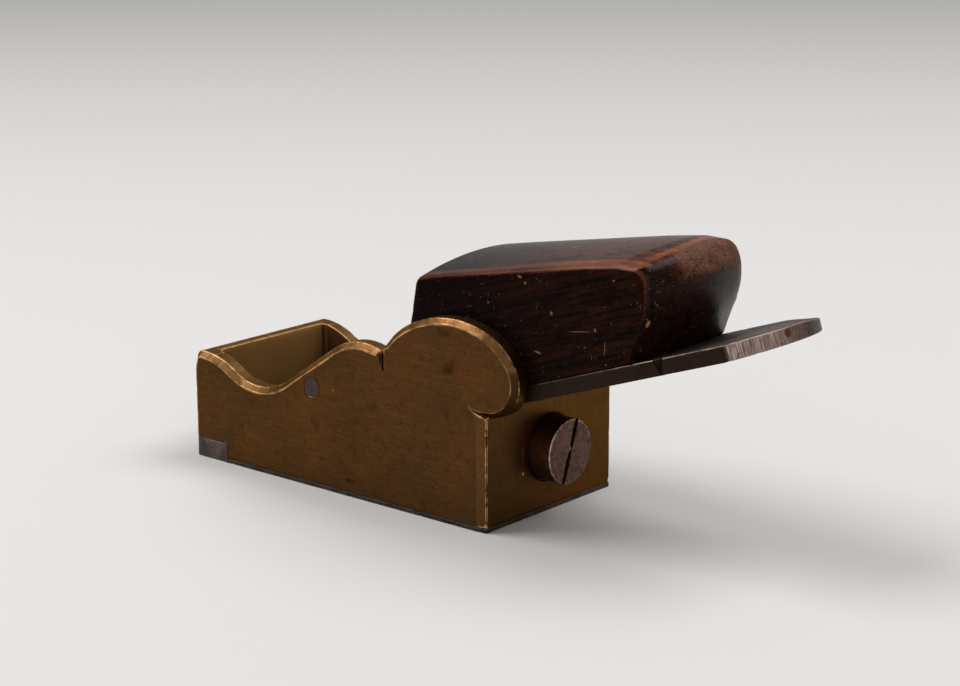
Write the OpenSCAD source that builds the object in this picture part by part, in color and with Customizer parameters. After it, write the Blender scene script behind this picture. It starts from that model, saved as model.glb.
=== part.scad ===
// Chariot plane: a palm-sized plane with a steel-soled gunmetal casting, scrolled cheeks,
// a low-bedded iron held by a rosewood wedge under a cross pin, and a striking screw.
// X runs from the toe to the heel, Y across the plane and Z up. The origin is the middle
// of the sole's underside. Lengths are in millimetres and angles in degrees.

/* [Sole] */
// Length of the sole from toe to heel
sole_l = 80; // [72:1:100]
// Width of the casting and of its sole
body_w = 38.8; // [32:0.2:46]
// Thickness of the steel sole plate
sole_t = 0.9; // [0.6:0.1:1.6]
// Length of the steel block let in at the toe
toe_block_l = 9.2; // [7:0.1:11]
// Height of the steel block let in at the toe
toe_block_h = 4.1; // [3:0.1:6]
// Opening of the mouth, from the toe block to the cutting edge
mouth_gap = 1.5; // [0.8:0.1:2.2]

/* [Casting] */
// Thickness of each cheek
cheek_t = 3.8; // [3:0.1:4.6]
// Thickness of the toe wall
toe_wall = 3.7; // [3:0.1:5]
// Angle of the bed that the iron lies on
bed_angle = 19; // [16:0.5:21]
// Radius of the upright corners inside the throat
throat_r = 1.6; // [0.6:0.1:2.4]
// Width of the bevel filed along the scrolled edges
bevel = 1.1; // [0.5:0.1:1.3]
// Width of the broken upright edges at the toe
edge_break = 0.5; // [0.3:0.1:0.9]
// Width of the shallow relief along the heel's upright edges
relief_w = 2.4; // [1:0.1:3]
// Depth of the shallow relief along the heel's upright edges
relief_d = 0.25; // [0.1:0.05:0.4]

/* [Scroll of the cheeks] */
// Height of the casting at the toe
toe_h = 22.8; // [21:0.2:24]
// Radius of the toe's top corner
toe_round = 1.6; // [1.4:0.1:2.4]
// Distance from the toe to the lowest point of the dip
dip_x = 18.4; // [17:0.2:20]
// Height of the dip
dip_h = 18; // [16:0.2:19]
// Radius of the dip
dip_r = 14.2; // [11:0.2:15]
// Distance from the heel forward to the top of the crest
crest_back = 32.2; // [31:0.2:33]
// Height of the crest
crest_h = 32; // [30:0.2:33]
// Radius of the crest
crest_r = 13.9; // [12:0.2:15]
// Radius of the corner where the crest turns down into the slit
crest_turn_r = 1.8; // [1.4:0.1:2.4]
// Distance from the heel forward to the slit between crest and lobe
slit_back = 26.3; // [26:0.1:26.8]
// Width of the slit at its top
slit_w = 0.8; // [0.5:0.1:1]
// Depth of the slit below the crest
slit_depth = 5; // [3:0.2:6]
// Distance that the slit's foot lies behind the middle of its top
slit_lean = 0.2; // [0:0.1:0.4]
// Distance from the heel forward to where the lobe's curve starts
lobe_back = 29.55; // [29:0.05:30]
// Height above the bed at which the lobe's curve starts
lobe_rise = 10.6; // [10:0.1:11.4]
// Angle at which the lobe's curve sets off
lobe_heading = 81.6; // [80:0.2:84]
// Radius of the lobe's front
lobe_front_r = 17.9; // [17:0.1:19]
// Turn of the lobe's front
lobe_front_turn = 52; // [50:0.5:54]
// Radius of the lobe's top
lobe_top_r = 24; // [22:0.5:26]
// Turn of the lobe's top
lobe_top_turn = 47; // [45:0.5:49]
// Radius of the lobe's back
lobe_back_r = 14.6; // [14:0.1:15.4]
// Turn of the lobe's back
lobe_back_turn = 37; // [35:0.5:39]
// Radius of the volute that closes the lobe over the heel
volute_r = 7; // [6.4:0.1:7.8]
// Angle that the scroll's cut turns on into the side behind the heel
scroll_turn = 38; // [20:1:50]

/* [Bridge pin] */
// Distance from the heel forward to the cross pin
pin_back = 45.5; // [44:0.1:48]
// Diameter of the cross pin
pin_d = 4; // [3:0.1:5]

/* [Iron] */
// Thickness of the iron
iron_t = 3; // [2.4:0.1:3.6]
// Length of the iron from its edge to the crown of its tail
iron_l = 132; // [118:1:140]
// Angle ground on the iron's upper face
grind_angle = 30; // [25:1:35]
// Height of the arc that ends the iron's tail
tail_rise = 5; // [2:0.2:7]

/* [Wedge] */
// Thickness of the wedge's tongue under the cross pin
tongue_t = 6.7; // [5.5:0.1:7.2]
// Angle between the faces of the tongue
taper_angle = 6.5; // [4:0.5:8]
// Length of the tongue in front of the cross pin
nose_l = 12; // [9:0.5:13]
// Distance along the bed from the cross pin to the front of the palm rest
rest_start = 22.6; // [21:0.2:26]
// Length of the palm rest along the bed
rest_l = 66; // [58:1:70]
// Height of the palm rest above the iron at its front
rest_h = 27.2; // [24:0.2:28.6]
// Lean of the palm rest's front face, from upright to the iron
front_lean = 29.5; // [24:0.5:34]
// Fall of the palm rest's top towards the rear, against the iron
top_fall = 8.6; // [7:0.2:11]
// Crown of the palm rest's top across its width
top_crown = 1.6; // [0.6:0.1:2.2]
// Radius of the palm rest's rounded edges
rest_r = 2.4; // [1.6:0.1:3]
// Bulge of the palm rest's rear end, seen from above
rear_bulge = 4.3; // [2:0.1:5]
// Length of the steeper slope behind the palm rest's top
shoulder_l = 8; // [6:0.5:16]
// Angle of that slope against the iron
shoulder_fall = 20; // [14:1:26]
// Distance that the rear end leans in above its rearmost point
rear_lean = 0.9; // [0.4:0.1:2.4]
// Height above the iron of the palm rest's rearmost point
rear_h = 13.2; // [10:0.2:14]
// Distance that the rear end tucks in above the iron
tuck_l = 9.4; // [6:0.2:10]
// Distance that the rear end has tucked in by half of that height
tuck_mid = 2.2; // [1:0.1:3]
// Thickness of the tongue's nose
nose_t = 1.4; // [0.8:0.1:2]
// Length of the slope behind the nose
nose_bevel = 4.5; // [3:0.5:6]

/* [Striking screw] */
// Diameter of the screw's head
head_d = 13; // [10:0.2:14]
// Length of the head that stands out of the heel
head_out = 5; // [3:0.1:7]
// Diameter of the screw's threaded shank
shank_d = 6.4; // [5:0.1:7]
// Length of the shank inside the heel
shank_l = 12; // [8:0.5:14]
// Height of the screw's axis above the sole
screw_h = 12.8; // [11:0.1:14]
// Depth of the round seat cut for the head
seat_depth = 1; // [0.5:0.1:1.5]
// Width of the screwdriver slot
slot_w = 1.1; // [0.8:0.1:1.5]
// Depth of the screwdriver slot
slot_depth = 1.8; // [1:0.1:2.4]
// Tilt of the slot from upright
slot_tilt = 19; // [0:1:90]
// Width of the bevel round the head's rim
rim_bevel = 0.5; // [0.2:0.1:0.8]

/* [Fits] */
// Clearance between the iron and each cheek
iron_side_gap = 0.1; // [0.05:0.05:0.3]
// Clearance between the wedge and each cheek
wedge_side_gap = 0.3; // [0.2:0.05:0.5]
// Gap between flat faces that slide on each other
slide_gap = 0.05; // [0.03:0.01:0.1]
// Gap between the wedge's tongue and the cross pin
pin_gap = 0.1; // [0.05:0.01:0.15]
// Radial gap of the cross pin in the cheeks
pin_fit = 0.01; // [0.01:0.01:0.03]
// Radial gap of the screw's shank in the heel
thread_fit = 0.06; // [0.04:0.01:0.1]
// Radial gap of the screw's head in its round seat
seat_fit = 0.3; // [0.2:0.05:0.5]

/* [Hidden] */
$fn = 96;
soft_fn = 32;
arc_step = 4;
same_point = 0.001;
over = 0.5;
file_over = 0.2;
crown_fn = 240;
far = 200;

gunmetal = "darkgoldenrod";
steel = "slategray";
old_steel = "dimgray";
rosewood = "saddlebrown";

side_y = body_w / 2;
inner_w = body_w - 2 * cheek_t;
mouth_x = toe_block_l + mouth_gap;
heel_h = bed_z(sole_l);

// The toe shoulder's arc lies level at the toe's round corner and runs into the dip's arc
dip_c = [dip_x, dip_h + dip_r];
dip_over = dip_c[1] - toe_h;
shoulder_run = dip_x - toe_round;
shoulder_r = (shoulder_run ^ 2 + dip_over ^ 2 - dip_r ^ 2) / (2 * (dip_r - dip_over));
shoulder_c = [toe_round, toe_h - shoulder_r];
shoulder_end = atan2(dip_c[1] - shoulder_c[1], dip_c[0] - shoulder_c[0]);

// A straight flank joins the dip's arc to the crest's arc, square to both radii
crest_c = [sole_l - crest_back, crest_h - crest_r];
flank_gap = crest_c - dip_c;
flank_normal = atan2(flank_gap[1], flank_gap[0]) - acos((dip_r + crest_r) / norm(flank_gap));
flank_from = dip_c + dip_r * heading(flank_normal);
flank_to = crest_c - crest_r * heading(flank_normal);
flank_l = norm(flank_to - flank_from);

// The crest turns down into the slit on a small arc that touches the slit's front wall
slit_x = sole_l - slit_back;
turn_x = slit_x - slit_w / 2 - crest_turn_r;
turn_out = crest_r - crest_turn_r;
turn_c = [turn_x, crest_c[1] + sqrt(turn_out ^ 2 - (turn_x - crest_c[0]) ^ 2)];
turn_start = atan2(turn_c[1] - crest_c[1], turn_c[0] - crest_c[0]);

// The lobe is a scroll of four arcs that run into each other without a corner
lobe_from = [sole_l - lobe_back, bed_z(sole_l - lobe_back) + lobe_rise];
front_c = lobe_from + lobe_front_r * heading(lobe_heading - 90);
top_way = lobe_heading + 90 - lobe_front_turn;
top_c = front_c + (lobe_front_r - lobe_top_r) * heading(top_way);
back_way = top_way - lobe_top_turn;
back_c = top_c + (lobe_top_r - lobe_back_r) * heading(back_way);
volute_way = back_way - lobe_back_turn;
volute_c = back_c + (lobe_back_r - volute_r) * heading(volute_way);
heel_way = -acos((sole_l - volute_c[0]) / volute_r);
volute_low = volute_c[1] + volute_r * sin(heel_way);
lobe_way = 180 - acos((front_c[0] - slit_x - slit_w / 2) / lobe_front_r);
slit_foot = [slit_x + slit_lean, crest_h - slit_depth];

// Stations along the scrolled edge: each is a point and the way out of the metal there
crest_run = joined(concat(
    arc_run([toe_round, toe_h - toe_round], toe_round, 180, 90),
    arc_run(shoulder_c, shoulder_r, 90, shoulder_end),
    arc_run(dip_c, dip_r, shoulder_end + 180, flank_normal + 360, -1),
    arc_run(crest_c, crest_r, flank_normal + 180, turn_start),
    arc_run(turn_c, crest_turn_r, turn_start, 0)
));
lobe_run = joined(concat(
    arc_run(front_c, lobe_front_r, lobe_way, top_way),
    arc_run(top_c, lobe_top_r, top_way, back_way),
    arc_run(back_c, lobe_back_r, back_way, volute_way),
    arc_run(volute_c, volute_r, volute_way, heel_way)
));
scroll_run = arc_run(volute_c, volute_r, heel_way, heel_way - scroll_turn);

iron_top = slide_gap + iron_t;
wedge_floor = iron_top + slide_gap;
iron_w = inner_w - 2 * iron_side_gap;
wedge_w = inner_w - 2 * wedge_side_gap;
pin_n = wedge_floor + tongue_t + pin_gap + pin_d / 2;
pin_s = (sole_l - pin_back - mouth_x + pin_n * sin(bed_angle)) / cos(bed_angle);
pin_at = [sole_l - pin_back, pin_s * sin(bed_angle) + pin_n * cos(bed_angle)];
rest_front = pin_s + rest_start;
rest_top = rest_front + (rest_h - tongue_top(rest_front)) * tan(front_lean);
rear = rest_front + rest_l;
shoulder_at = rear - shoulder_l;

// The rear's outline, from the iron up: two tucked stretches and one that leans in
rear_line = [
    [rear - tuck_l, 0],
    [rear - tuck_mid, rear_h / 2],
    [rear, rear_h],
    [rear - rear_lean, shoulder_top(rear - rear_lean)],
];

function heading(a) = [cos(a), sin(a)];
function bed_z(x) = (x - mouth_x) * tan(bed_angle);
function tongue_top(s) = tongue_t + (s - pin_s) * tan(taper_angle);
function shoulder_top(s) =
    rest_h - (shoulder_at - rest_top) * tan(top_fall) - (s - shoulder_at) * tan(shoulder_fall);
function cap_r(chord, rise) = (chord ^ 2 / 4 + rise ^ 2) / (2 * rise);

// Even steps along an arc. The way out of the metal points from the centre, or to it
function arc_run(centre, r, from, to, out = 1) =
    let (steps = ceil(abs(to - from) / arc_step) + 2)
    [
        for (i = [0 : steps])
            let (a = from + (to - from) * i / steps)
            [centre + r * heading(a), out * heading(a)]
    ];

// Leaves out each station that repeats the one before it
function joined(run) = [
    for (i = [0 : len(run) - 1])
        if (i == 0 || norm(run[i][0] - run[i - 1][0]) > same_point) run[i]
];

// Gives each station of a run the bevel's depth and the file's reach past the edge
function filed(run) = [for (station = run) [station[0], station[1], bevel, file_over]];

// The same where both fade out along the run, after its first station
function faded(run) =
    let (last = len(run) - 1)
    [for (i = [1 : last]) [run[i][0], run[i][1], bevel * (1 - i / last), 0]];

// Moves a shape measured from the toe to the middle of the sole
module from_toe() {
    translate([-sole_l / 2, 0, 0]) children();
}

// Stands up a shape drawn flat: its height turns to Z and its thickness to Y
module stand() {
    from_toe() rotate([90, 0, 0]) children();
}

// Lays a shape on the bed: X along the bed from the mouth, Z square to it
module on_bed() {
    from_toe() translate([mouth_x, 0, 0]) rotate([0, -bed_angle, 0]) children();
}

// Stands up on the bed a shape drawn flat: along the bed, square to it, and across
module bed_section(width) {
    on_bed() rotate([90, 0, 0]) linear_extrude(width, center = true) children();
}

module both_sides() {
    for (side = [0, 1]) mirror([0, 0, side]) children();
}

// Side outline of the casting, up the toe, along the scrolled edge and down the heel
module side_outline() {
    polygon(concat(
        [[0, 0]],
        [for (station = crest_run) station[0]],
        [slit_foot],
        [for (station = lobe_run) station[0]],
        [[sole_l, 0]]
    ));
}

// File that is drawn along a run of stations: a three-sided bar whose slope takes the
// bevel off the edge, and which stands clear of the metal above and outside
module file_along(run) {
    count = len(run);
    polyhedron(
        points = [
            for (station = run)
                let (at = station[0], out = station[1], depth = station[2], reach = station[3])
                each [
                    [each at - out * (depth + file_over), side_y + file_over],
                    [each at + out * reach, side_y + file_over],
                    [each at + out * reach, side_y - depth - reach],
                ]
        ],
        faces = concat(
            [[2, 1, 0], [3 * count - 3, 3 * count - 2, 3 * count - 1]],
            [
                for (i = [0 : count - 2], k = [0 : 2])
                    let (here = 3 * i, next = 3 * i + 3, turn = (k + 1) % 3)
                    each [
                        [here + k, here + turn, next + turn],
                        [here + k, next + turn, next + k],
                    ]
            ]
        )
    );
}

// The bevel fades out down the slit's front wall, and down the scroll cut into the side
module bevel_cuts() {
    slit_wall = [[turn_c + [crest_turn_r, 0], [1, 0]], [slit_foot, [1, 0]]];
    file_along(concat(filed(crest_run), faded(slit_wall)));
    file_along(concat(filed(lobe_run), faded(scroll_run)));
}

// Outline of the space between the cheeks: throat, mouth, bed and all behind the heel
module channel_outline() {
    polygon([
        [toe_wall, far],
        [toe_wall, toe_block_h],
        [toe_block_l, toe_block_h],
        [toe_block_l, 0],
        [mouth_x, 0],
        [sole_l, heel_h],
        [sole_l, 0],
        [far, 0],
        [far, far],
    ]);
}

module channel_plan() {
    half = inner_w / 2;
    translate([toe_wall + throat_r, -half]) square([far, inner_w]);
    translate([toe_wall, throat_r - half]) square([far, inner_w - 2 * throat_r]);
    for (side = [-1, 1])
        translate([toe_wall + throat_r, side * (half - throat_r)]) circle(throat_r);
}

module channel() {
    intersection() {
        stand() linear_extrude(inner_w, center = true) channel_outline();
        from_toe() linear_extrude(far) channel_plan();
    }
}

// What is taken off the upright edges of both sides: broken at the toe, eased at the heel
module upright_edges() {
    for (side = [0, 1]) mirror([0, side, 0]) from_toe() {
        linear_extrude(toe_h - toe_round)
            polygon([
                [-over, side_y - edge_break - over],
                [-over, side_y + over],
                [edge_break + over, side_y + over],
            ]);
        linear_extrude(volute_low)
            polygon([
                [sole_l - relief_w, side_y],
                [sole_l - relief_w, side_y + over],
                [sole_l + over, side_y + over],
                [sole_l + over, side_y - relief_d],
                [sole_l, side_y - relief_d],
            ]);
    }
}

// Places a round shape on the screw's axis, with its height growing out of the heel
module on_screw_axis(depth) {
    from_toe() translate([sole_l - depth, 0, screw_h]) rotate([0, 90, 0]) children();
}

module casting() {
    color(gunmetal) difference() {
        stand() difference() {
            linear_extrude(body_w, center = true) side_outline();
            both_sides() bevel_cuts();
            translate(pin_at) cylinder(h = body_w + 2 * over, r = pin_d / 2 + pin_fit, center = true);
        }
        channel();
        upright_edges();
        from_toe() {
            translate([-over, -body_w, -over]) cube([toe_block_l + over, 2 * body_w, toe_block_h + over]);
            translate([0, -body_w, -over]) cube([sole_l + over, 2 * body_w, sole_t + over]);
        }
        on_screw_axis(seat_depth) cylinder(h = seat_depth + over, r = head_d / 2 + seat_fit);
        on_screw_axis(seat_depth + shank_l + over) cylinder(h = shank_l + 2 * over, r = shank_d / 2 + thread_fit);
    }
}

module toe_block() {
    color(steel) difference() {
        from_toe() translate([0, -side_y, 0]) cube([toe_block_l, body_w, toe_block_h]);
        upright_edges();
    }
}

module sole_plate() {
    color(steel) difference() {
        from_toe() translate([toe_block_l, -side_y, 0]) cube([sole_l - toe_block_l, body_w, sole_t]);
        channel();
        upright_edges();
    }
}

module cross_pin() {
    color(steel) stand() translate(pin_at) cylinder(h = body_w, r = pin_d / 2, center = true);
}

// Plan of a straight piece whose far end bulges by an arc across its width
module round_ended(end, width, bulge) {
    end_r = cap_r(width, bulge);
    intersection() {
        translate([-far, -width / 2]) square([far + end, width]);
        union() {
            translate([-far, -width / 2]) square([far + end - bulge, width]);
            translate([end - end_r, 0]) circle(end_r);
        }
    }
}

// Flat bar lying bevel up on the bed, its tail ended by an arc across the width
module iron() {
    grind_l = iron_t / tan(grind_angle);
    color(old_steel) intersection() {
        bed_section(iron_w)
            polygon([
                [0, slide_gap],
                [iron_l, slide_gap],
                [iron_l, iron_top],
                [grind_l, iron_top],
            ]);
        on_bed() linear_extrude(far, center = true) round_ended(iron_l, iron_w, tail_rise);
    }
}

// Tongue of the wedge: from its nose, under the cross pin, into the palm rest
module tongue_outline() {
    tip = pin_s - nose_l;
    polygon([
        [tip, 0],
        [tip, nose_t],
        [tip + nose_bevel, tongue_top(tip + nose_bevel)],
        [rest_front + rest_r, tongue_top(rest_front + rest_r)],
        [rest_front + 2 * rest_r, 0],
    ]);
}

// Palm rest, seen from the side: leaning front, falling top and a steeper slope behind it
module rest_outline() {
    end = rear + over;
    offset(r = rest_r, $fn = soft_fn) offset(delta = -rest_r)
        polygon([
            [rest_front - tongue_top(rest_front) * tan(front_lean), 0],
            [rest_top, rest_h],
            [shoulder_at, shoulder_top(shoulder_at)],
            [end, shoulder_top(end)],
            [end, 0],
        ]);
}

// Block ended by the bulge of the rear, leaned so that its end runs from one point of the
// rear's outline up to the next
module rear_block(low, high) {
    lean = atan2(high[0] - low[0], high[1] - low[1]);
    on_bed() translate([low[0], 0, wedge_floor + low[1]]) rotate([0, lean, 0])
        linear_extrude(2 * far, center = true)
            offset(r = rest_r, $fn = soft_fn) offset(delta = -rest_r)
                round_ended(0, wedge_w, rear_bulge);
}

module wedge() {
    crown_r = cap_r(wedge_w, top_crown);
    color(rosewood) intersection() {
        bed_section(wedge_w) translate([0, wedge_floor])
            offset(r = -rest_r, $fn = soft_fn) offset(delta = rest_r) {
                tongue_outline();
                rest_outline();
            }
        on_bed() translate([rest_top, 0, wedge_floor + rest_h]) rotate([0, top_fall, 0])
            rotate([90, 0, 90]) linear_extrude(2 * far, center = true)
                offset(r = rest_r, $fn = soft_fn) offset(delta = -rest_r)
                    intersection() {
                        translate([0, -crown_r]) circle(crown_r, $fn = crown_fn);
                        translate([-wedge_w / 2, -far]) square([wedge_w, far]);
                    }
        rear_block(rear_line[0], rear_line[1]);
        rear_block(rear_line[1], rear_line[2]);
        rear_block(rear_line[2], rear_line[3]);
    }
}

module striking_screw() {
    head_l = head_out + seat_depth - slide_gap;
    head_r = head_d / 2;
    color(old_steel) difference() {
        union() {
            on_screw_axis(seat_depth - slide_gap)
                rotate_extrude()
                    polygon([
                        [0, 0],
                        [head_r, 0],
                        [head_r, head_l - rim_bevel],
                        [head_r - rim_bevel, head_l],
                        [0, head_l],
                    ]);
            on_screw_axis(seat_depth + shank_l) cylinder(h = shank_l + over, r = shank_d / 2);
        }
        on_screw_axis(-head_out) rotate([0, 0, slot_tilt])
            cube([2 * head_d, slot_w, 2 * slot_depth], center = true);
    }
}

casting();
toe_block();
sole_plate();
cross_pin();
iron();
wedge();
striking_screw();
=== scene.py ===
import math
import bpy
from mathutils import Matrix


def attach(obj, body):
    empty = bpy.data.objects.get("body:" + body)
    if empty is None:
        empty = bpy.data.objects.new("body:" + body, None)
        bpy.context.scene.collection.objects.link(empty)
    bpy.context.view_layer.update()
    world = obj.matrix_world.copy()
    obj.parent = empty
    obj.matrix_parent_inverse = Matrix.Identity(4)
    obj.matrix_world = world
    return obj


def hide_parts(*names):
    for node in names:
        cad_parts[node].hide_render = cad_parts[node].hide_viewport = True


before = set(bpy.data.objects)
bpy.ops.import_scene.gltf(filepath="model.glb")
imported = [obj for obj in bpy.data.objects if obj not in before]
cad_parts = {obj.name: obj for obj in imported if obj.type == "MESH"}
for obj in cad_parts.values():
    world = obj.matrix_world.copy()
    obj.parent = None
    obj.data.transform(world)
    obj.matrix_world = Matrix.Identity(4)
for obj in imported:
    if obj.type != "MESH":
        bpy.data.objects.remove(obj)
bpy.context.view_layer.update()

from types import SimpleNamespace
import bmesh
import bpy
import numpy as np
from mathutils import Euler, Matrix, Vector, geometry

mm = 0.001
tiny = 1e-6  # mm: points closer than this are one

# Chariot plane. X runs from the toe to the heel, Y across the plane and Z up.
# Shapes are worked out in millimetres, with X measured from the toe, and placed at the end.
plane = dict(
    soleLength=80.0,
    bodyWidth=38.8,
    soleThickness=0.9,
    toeBlockLength=9.2,
    toeBlockHeight=4.1,
    mouthGap=1.5,
    bedAngle=19.0,
    slideGap=0.05,
    station=0.4,  # spacing of the points along the outlines
)
soleLength, slideGap, station = plane["soleLength"], plane["slideGap"], plane["station"]
blockX, blockZ, soleZ = plane["toeBlockLength"], plane["toeBlockHeight"], plane["soleThickness"]
sideY = plane["bodyWidth"] / 2
mouthX = blockX + plane["mouthGap"]
bedSlope = math.radians(plane["bedAngle"])
bedCos, bedSin = math.cos(bedSlope), math.sin(bedSlope)


def columns(*values):
    # numbers and arrays side by side, as the columns of one array
    count = max(len(value) for value in values if np.ndim(value))
    return np.column_stack([value if np.ndim(value) else np.full(count, value) for value in values])


def smooth(share):
    # eased step from 0 to 1: s^2 (3 - 2s)
    share = np.clip(share, 0, 1)
    return share * share * (3 - 2 * share)


# Outlines: each is an array of points, drawn counter-clockwise when it is closed

def headingOf(degrees):
    # direction at an angle: (cos a, sin a)
    angle = np.radians(degrees)
    return np.stack([np.cos(angle), np.sin(angle)], axis=-1)


def angleOf(way):
    # angle of a direction, in degrees: atan2(y, x)
    return math.degrees(math.atan2(way[1], way[0]))


def arcRun(centre, radius, start, end, spacing=station):
    # even steps round a circle: centre + radius * heading
    steps = int(abs(math.radians(end - start)) * radius / spacing) + 4
    return np.asarray(centre) + radius * headingOf(np.linspace(start, end, steps))


def lineRun(start, end, spacing=station):
    # even steps along a straight line: start + share * (end - start)
    start, end = np.asarray(start, float), np.asarray(end, float)
    steps = int(np.linalg.norm(end - start) / spacing) + 2
    return start + np.linspace(0, 1, steps)[:, None] * (end - start)


def joined(*runs):
    # runs laid end to end, without the points that repeat
    path = np.concatenate(runs)
    gap = np.linalg.norm(np.diff(path, axis=0), axis=1)
    return path[np.concatenate([[True], gap > tiny])]


def closedPath(*runs):
    # runs laid end to end, without a last point on the first
    path = joined(*runs)
    return path[:-1] if np.linalg.norm(path[0] - path[-1]) < tiny else path


sharpest = 0.35  # least 1 + cosine that a mitre is worked out for


def outwardOf(path):
    # mitred normal: the two sides' normals added, over 1 + their cosine, so both sides move alike
    back, ahead = path - np.roll(path, 1, axis=0), np.roll(path, -1, axis=0) - path
    turned = [columns(v[:, 1], -v[:, 0]) / np.linalg.norm(v, axis=1)[:, None] for v in (back, ahead)]
    return (turned[0] + turned[1]) / np.maximum(1 + (turned[0] * turned[1]).sum(1), sharpest)[:, None]


def roundedOutline(corners, radii):
    # each corner becomes an arc that touches both of its sides: distance from corner = r / tan(half angle)
    corners = np.asarray(corners, float)
    runs = []
    for i, radius in enumerate(radii):
        here = corners[i]
        toBack, toNext = corners[i - 1] - here, corners[(i + 1) % len(corners)] - here
        toBack, toNext = toBack / np.linalg.norm(toBack), toNext / np.linalg.norm(toNext)
        halfAngle = math.acos(np.clip(toBack @ toNext, -1, 1)) / 2
        centre = here + (toBack + toNext) / np.linalg.norm(toBack + toNext) * radius / math.sin(halfAngle)
        touches = [here + way * radius / math.tan(halfAngle) for way in (toBack, toNext)]
        start, end = [angleOf(touch - centre) for touch in touches]
        end = start + (end - start + 180) % 360 - 180
        runs.append(arcRun(centre, radius, start, end, station / 2))
    ends = [lineRun(runs[i][-1], runs[(i + 1) % len(runs)][0]) for i in range(len(runs))]
    return closedPath(*[run for pair in zip(runs, ends) for run in pair])


def distanceTo(points, start, end):
    # distance from each point to the nearest of some straight sides
    along = end - start
    long = np.maximum((along ** 2).sum(1), 1e-12)
    nearest = []
    for some in np.array_split(points, len(points) // 1500 + 1):
        away = some[:, None] - start
        share = np.clip((away * along).sum(2) / long, 0, 1)
        nearest.append(np.linalg.norm(away - share[..., None] * along, axis=2).min(1))
    return np.concatenate(nearest)


def isInside(points, start, end):
    # a point is inside if a line from it to the right crosses an odd number of sides
    x, y = points[:, :1], points[:, 1:]
    crosses = (start[:, 1] > y) != (end[:, 1] > y)
    rise = np.where(end[:, 1] == start[:, 1], 1e-12, end[:, 1] - start[:, 1])
    reach = start[:, 0] + (y - start[:, 1]) * (end[:, 0] - start[:, 0]) / rise
    return (crosses & (x < reach)).sum(1) % 2 == 1


# Parts of a piece: points, faces of four corners (a triangle repeats its last) and how far
# each point lies from the nearest worn edge

rowStep = 0.87  # rows of the staggered lattice, over its spacing
offOutline, offCrease = 0.5, 0.4  # how far the lattice keeps away, over its spacing


def fillPart(loops, lift, spacing=0.8, lines=(), wornLines=None):
    # flat region: its outlines, creases and a staggered lattice, triangulated and then lifted
    start, end = np.concatenate(loops), np.concatenate([np.roll(loop, -1, axis=0) for loop in loops])
    low, high = start.min(0), start.max(0)
    x, y = np.meshgrid(np.arange(low[0], high[0], spacing), np.arange(low[1], high[1], spacing * rowStep))
    x[1::2] += spacing / 2
    lattice = columns(x.ravel(), y.ravel())
    lattice = lattice[isInside(lattice, start, end)]
    lattice = lattice[distanceTo(lattice, start, end) > spacing * offOutline]
    for line in lines:
        lattice = lattice[distanceTo(lattice, line[:-1], line[1:]) > spacing * offCrease]
    count = len(start)
    ahead = np.arange(count) + 1
    stops = np.cumsum([len(loop) for loop in loops])
    ahead[stops - 1] = np.concatenate([[0], stops[:-1]])
    sides = columns(np.arange(count), ahead)
    for line in lines:
        inner = count + np.arange(len(line) - 1)
        sides = np.concatenate([sides, columns(inner, inner + 1)])
        count += len(line)
    flat = np.concatenate([start, *lines, lattice])
    made = geometry.delaunay_2d_cdt([Vector(p) for p in flat], sides.tolist(), [], 1, tiny)
    source = np.array([o[0] if o else -1 for o in made[3]])
    found = np.where(source[:, None] >= 0, flat[source], np.array([tuple(p) for p in made[0]]))
    triangles = np.array([tuple(t) for t in made[2]])
    for hole in loops[1:]:
        triangles = triangles[~isInside(found[triangles].mean(1), hole, np.roll(hole, -1, axis=0))]
    triangles = withoutSlivers(found, triangles)
    if wornLines is not None:
        start = np.concatenate([line[:-1] for line in wornLines])
        end = np.concatenate([line[1:] for line in wornLines])
    return lift(found), triangles[:, [0, 1, 2, 2]], distanceTo(found, start, end)


flattest = 1e-3  # mm: a triangle lower than this may be a sliver


def withoutSlivers(points, triangles):
    # flat triangles just outside an outline go: those whose longest side no other triangle shares
    while True:
        corners = points[triangles]
        sides = corners - np.roll(corners, -1, axis=1)
        long = np.linalg.norm(sides, axis=2)
        height = np.abs(sides[:, 0, 0] * sides[:, 1, 1] - sides[:, 0, 1] * sides[:, 1, 0]) / long.max(1)
        pairs = np.sort(np.stack([triangles, np.roll(triangles, -1, axis=1)], -1), axis=2).reshape(-1, 2)
        _, which, counts = np.unique(pairs, axis=0, return_inverse=True, return_counts=True)
        used = counts[which.ravel()].reshape(-1, 3)
        stray = (height < flattest) & (used[np.arange(len(used)), long.argmax(1)] == 1)
        if not stray.any():
            return triangles
        triangles = triangles[~stray]


def gridPart(grid, worn, closed=False):
    # rows of points joined by quads
    down, across = grid.shape[:2]
    index = np.arange(down * across).reshape(down, across)
    if closed:
        index = np.concatenate([index, index[:, :1]], 1)
    quads = np.stack([index[:-1, :-1], index[:-1, 1:], index[1:, 1:], index[1:, :-1]], -1).reshape(-1, 4)
    return grid.reshape(-1, 3), quads, np.broadcast_to(worn, (down, across)).ravel()


def bent(start, corner, end, share):
    # round over a corner: (1-s)^2 start + 2s(1-s) corner + s^2 end
    return (1 - share) ** 2 * start + 2 * share * (1 - share) * corner + share ** 2 * end


quarterLength = 1.6  # length round a quarter circle, in radii
quarterTurns = np.radians([0, 22.5, 45, 67.5, 90])


def turnedEdge(start, corner, end, size):
    # four rows round over a corner, and how far each lies from its worn middle: size * |share - 1/2| * length
    shares = np.linspace(0, 1, 4)
    worn = [size * abs(share - 0.5) * quarterLength for share in shares]
    return [bent(start, corner, end, share) for share in shares], worn


def heightOver(height):
    # height over flat points: given as a function of them, or one number for all
    return height if callable(height) else lambda flat: np.full(len(flat), float(height))


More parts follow.
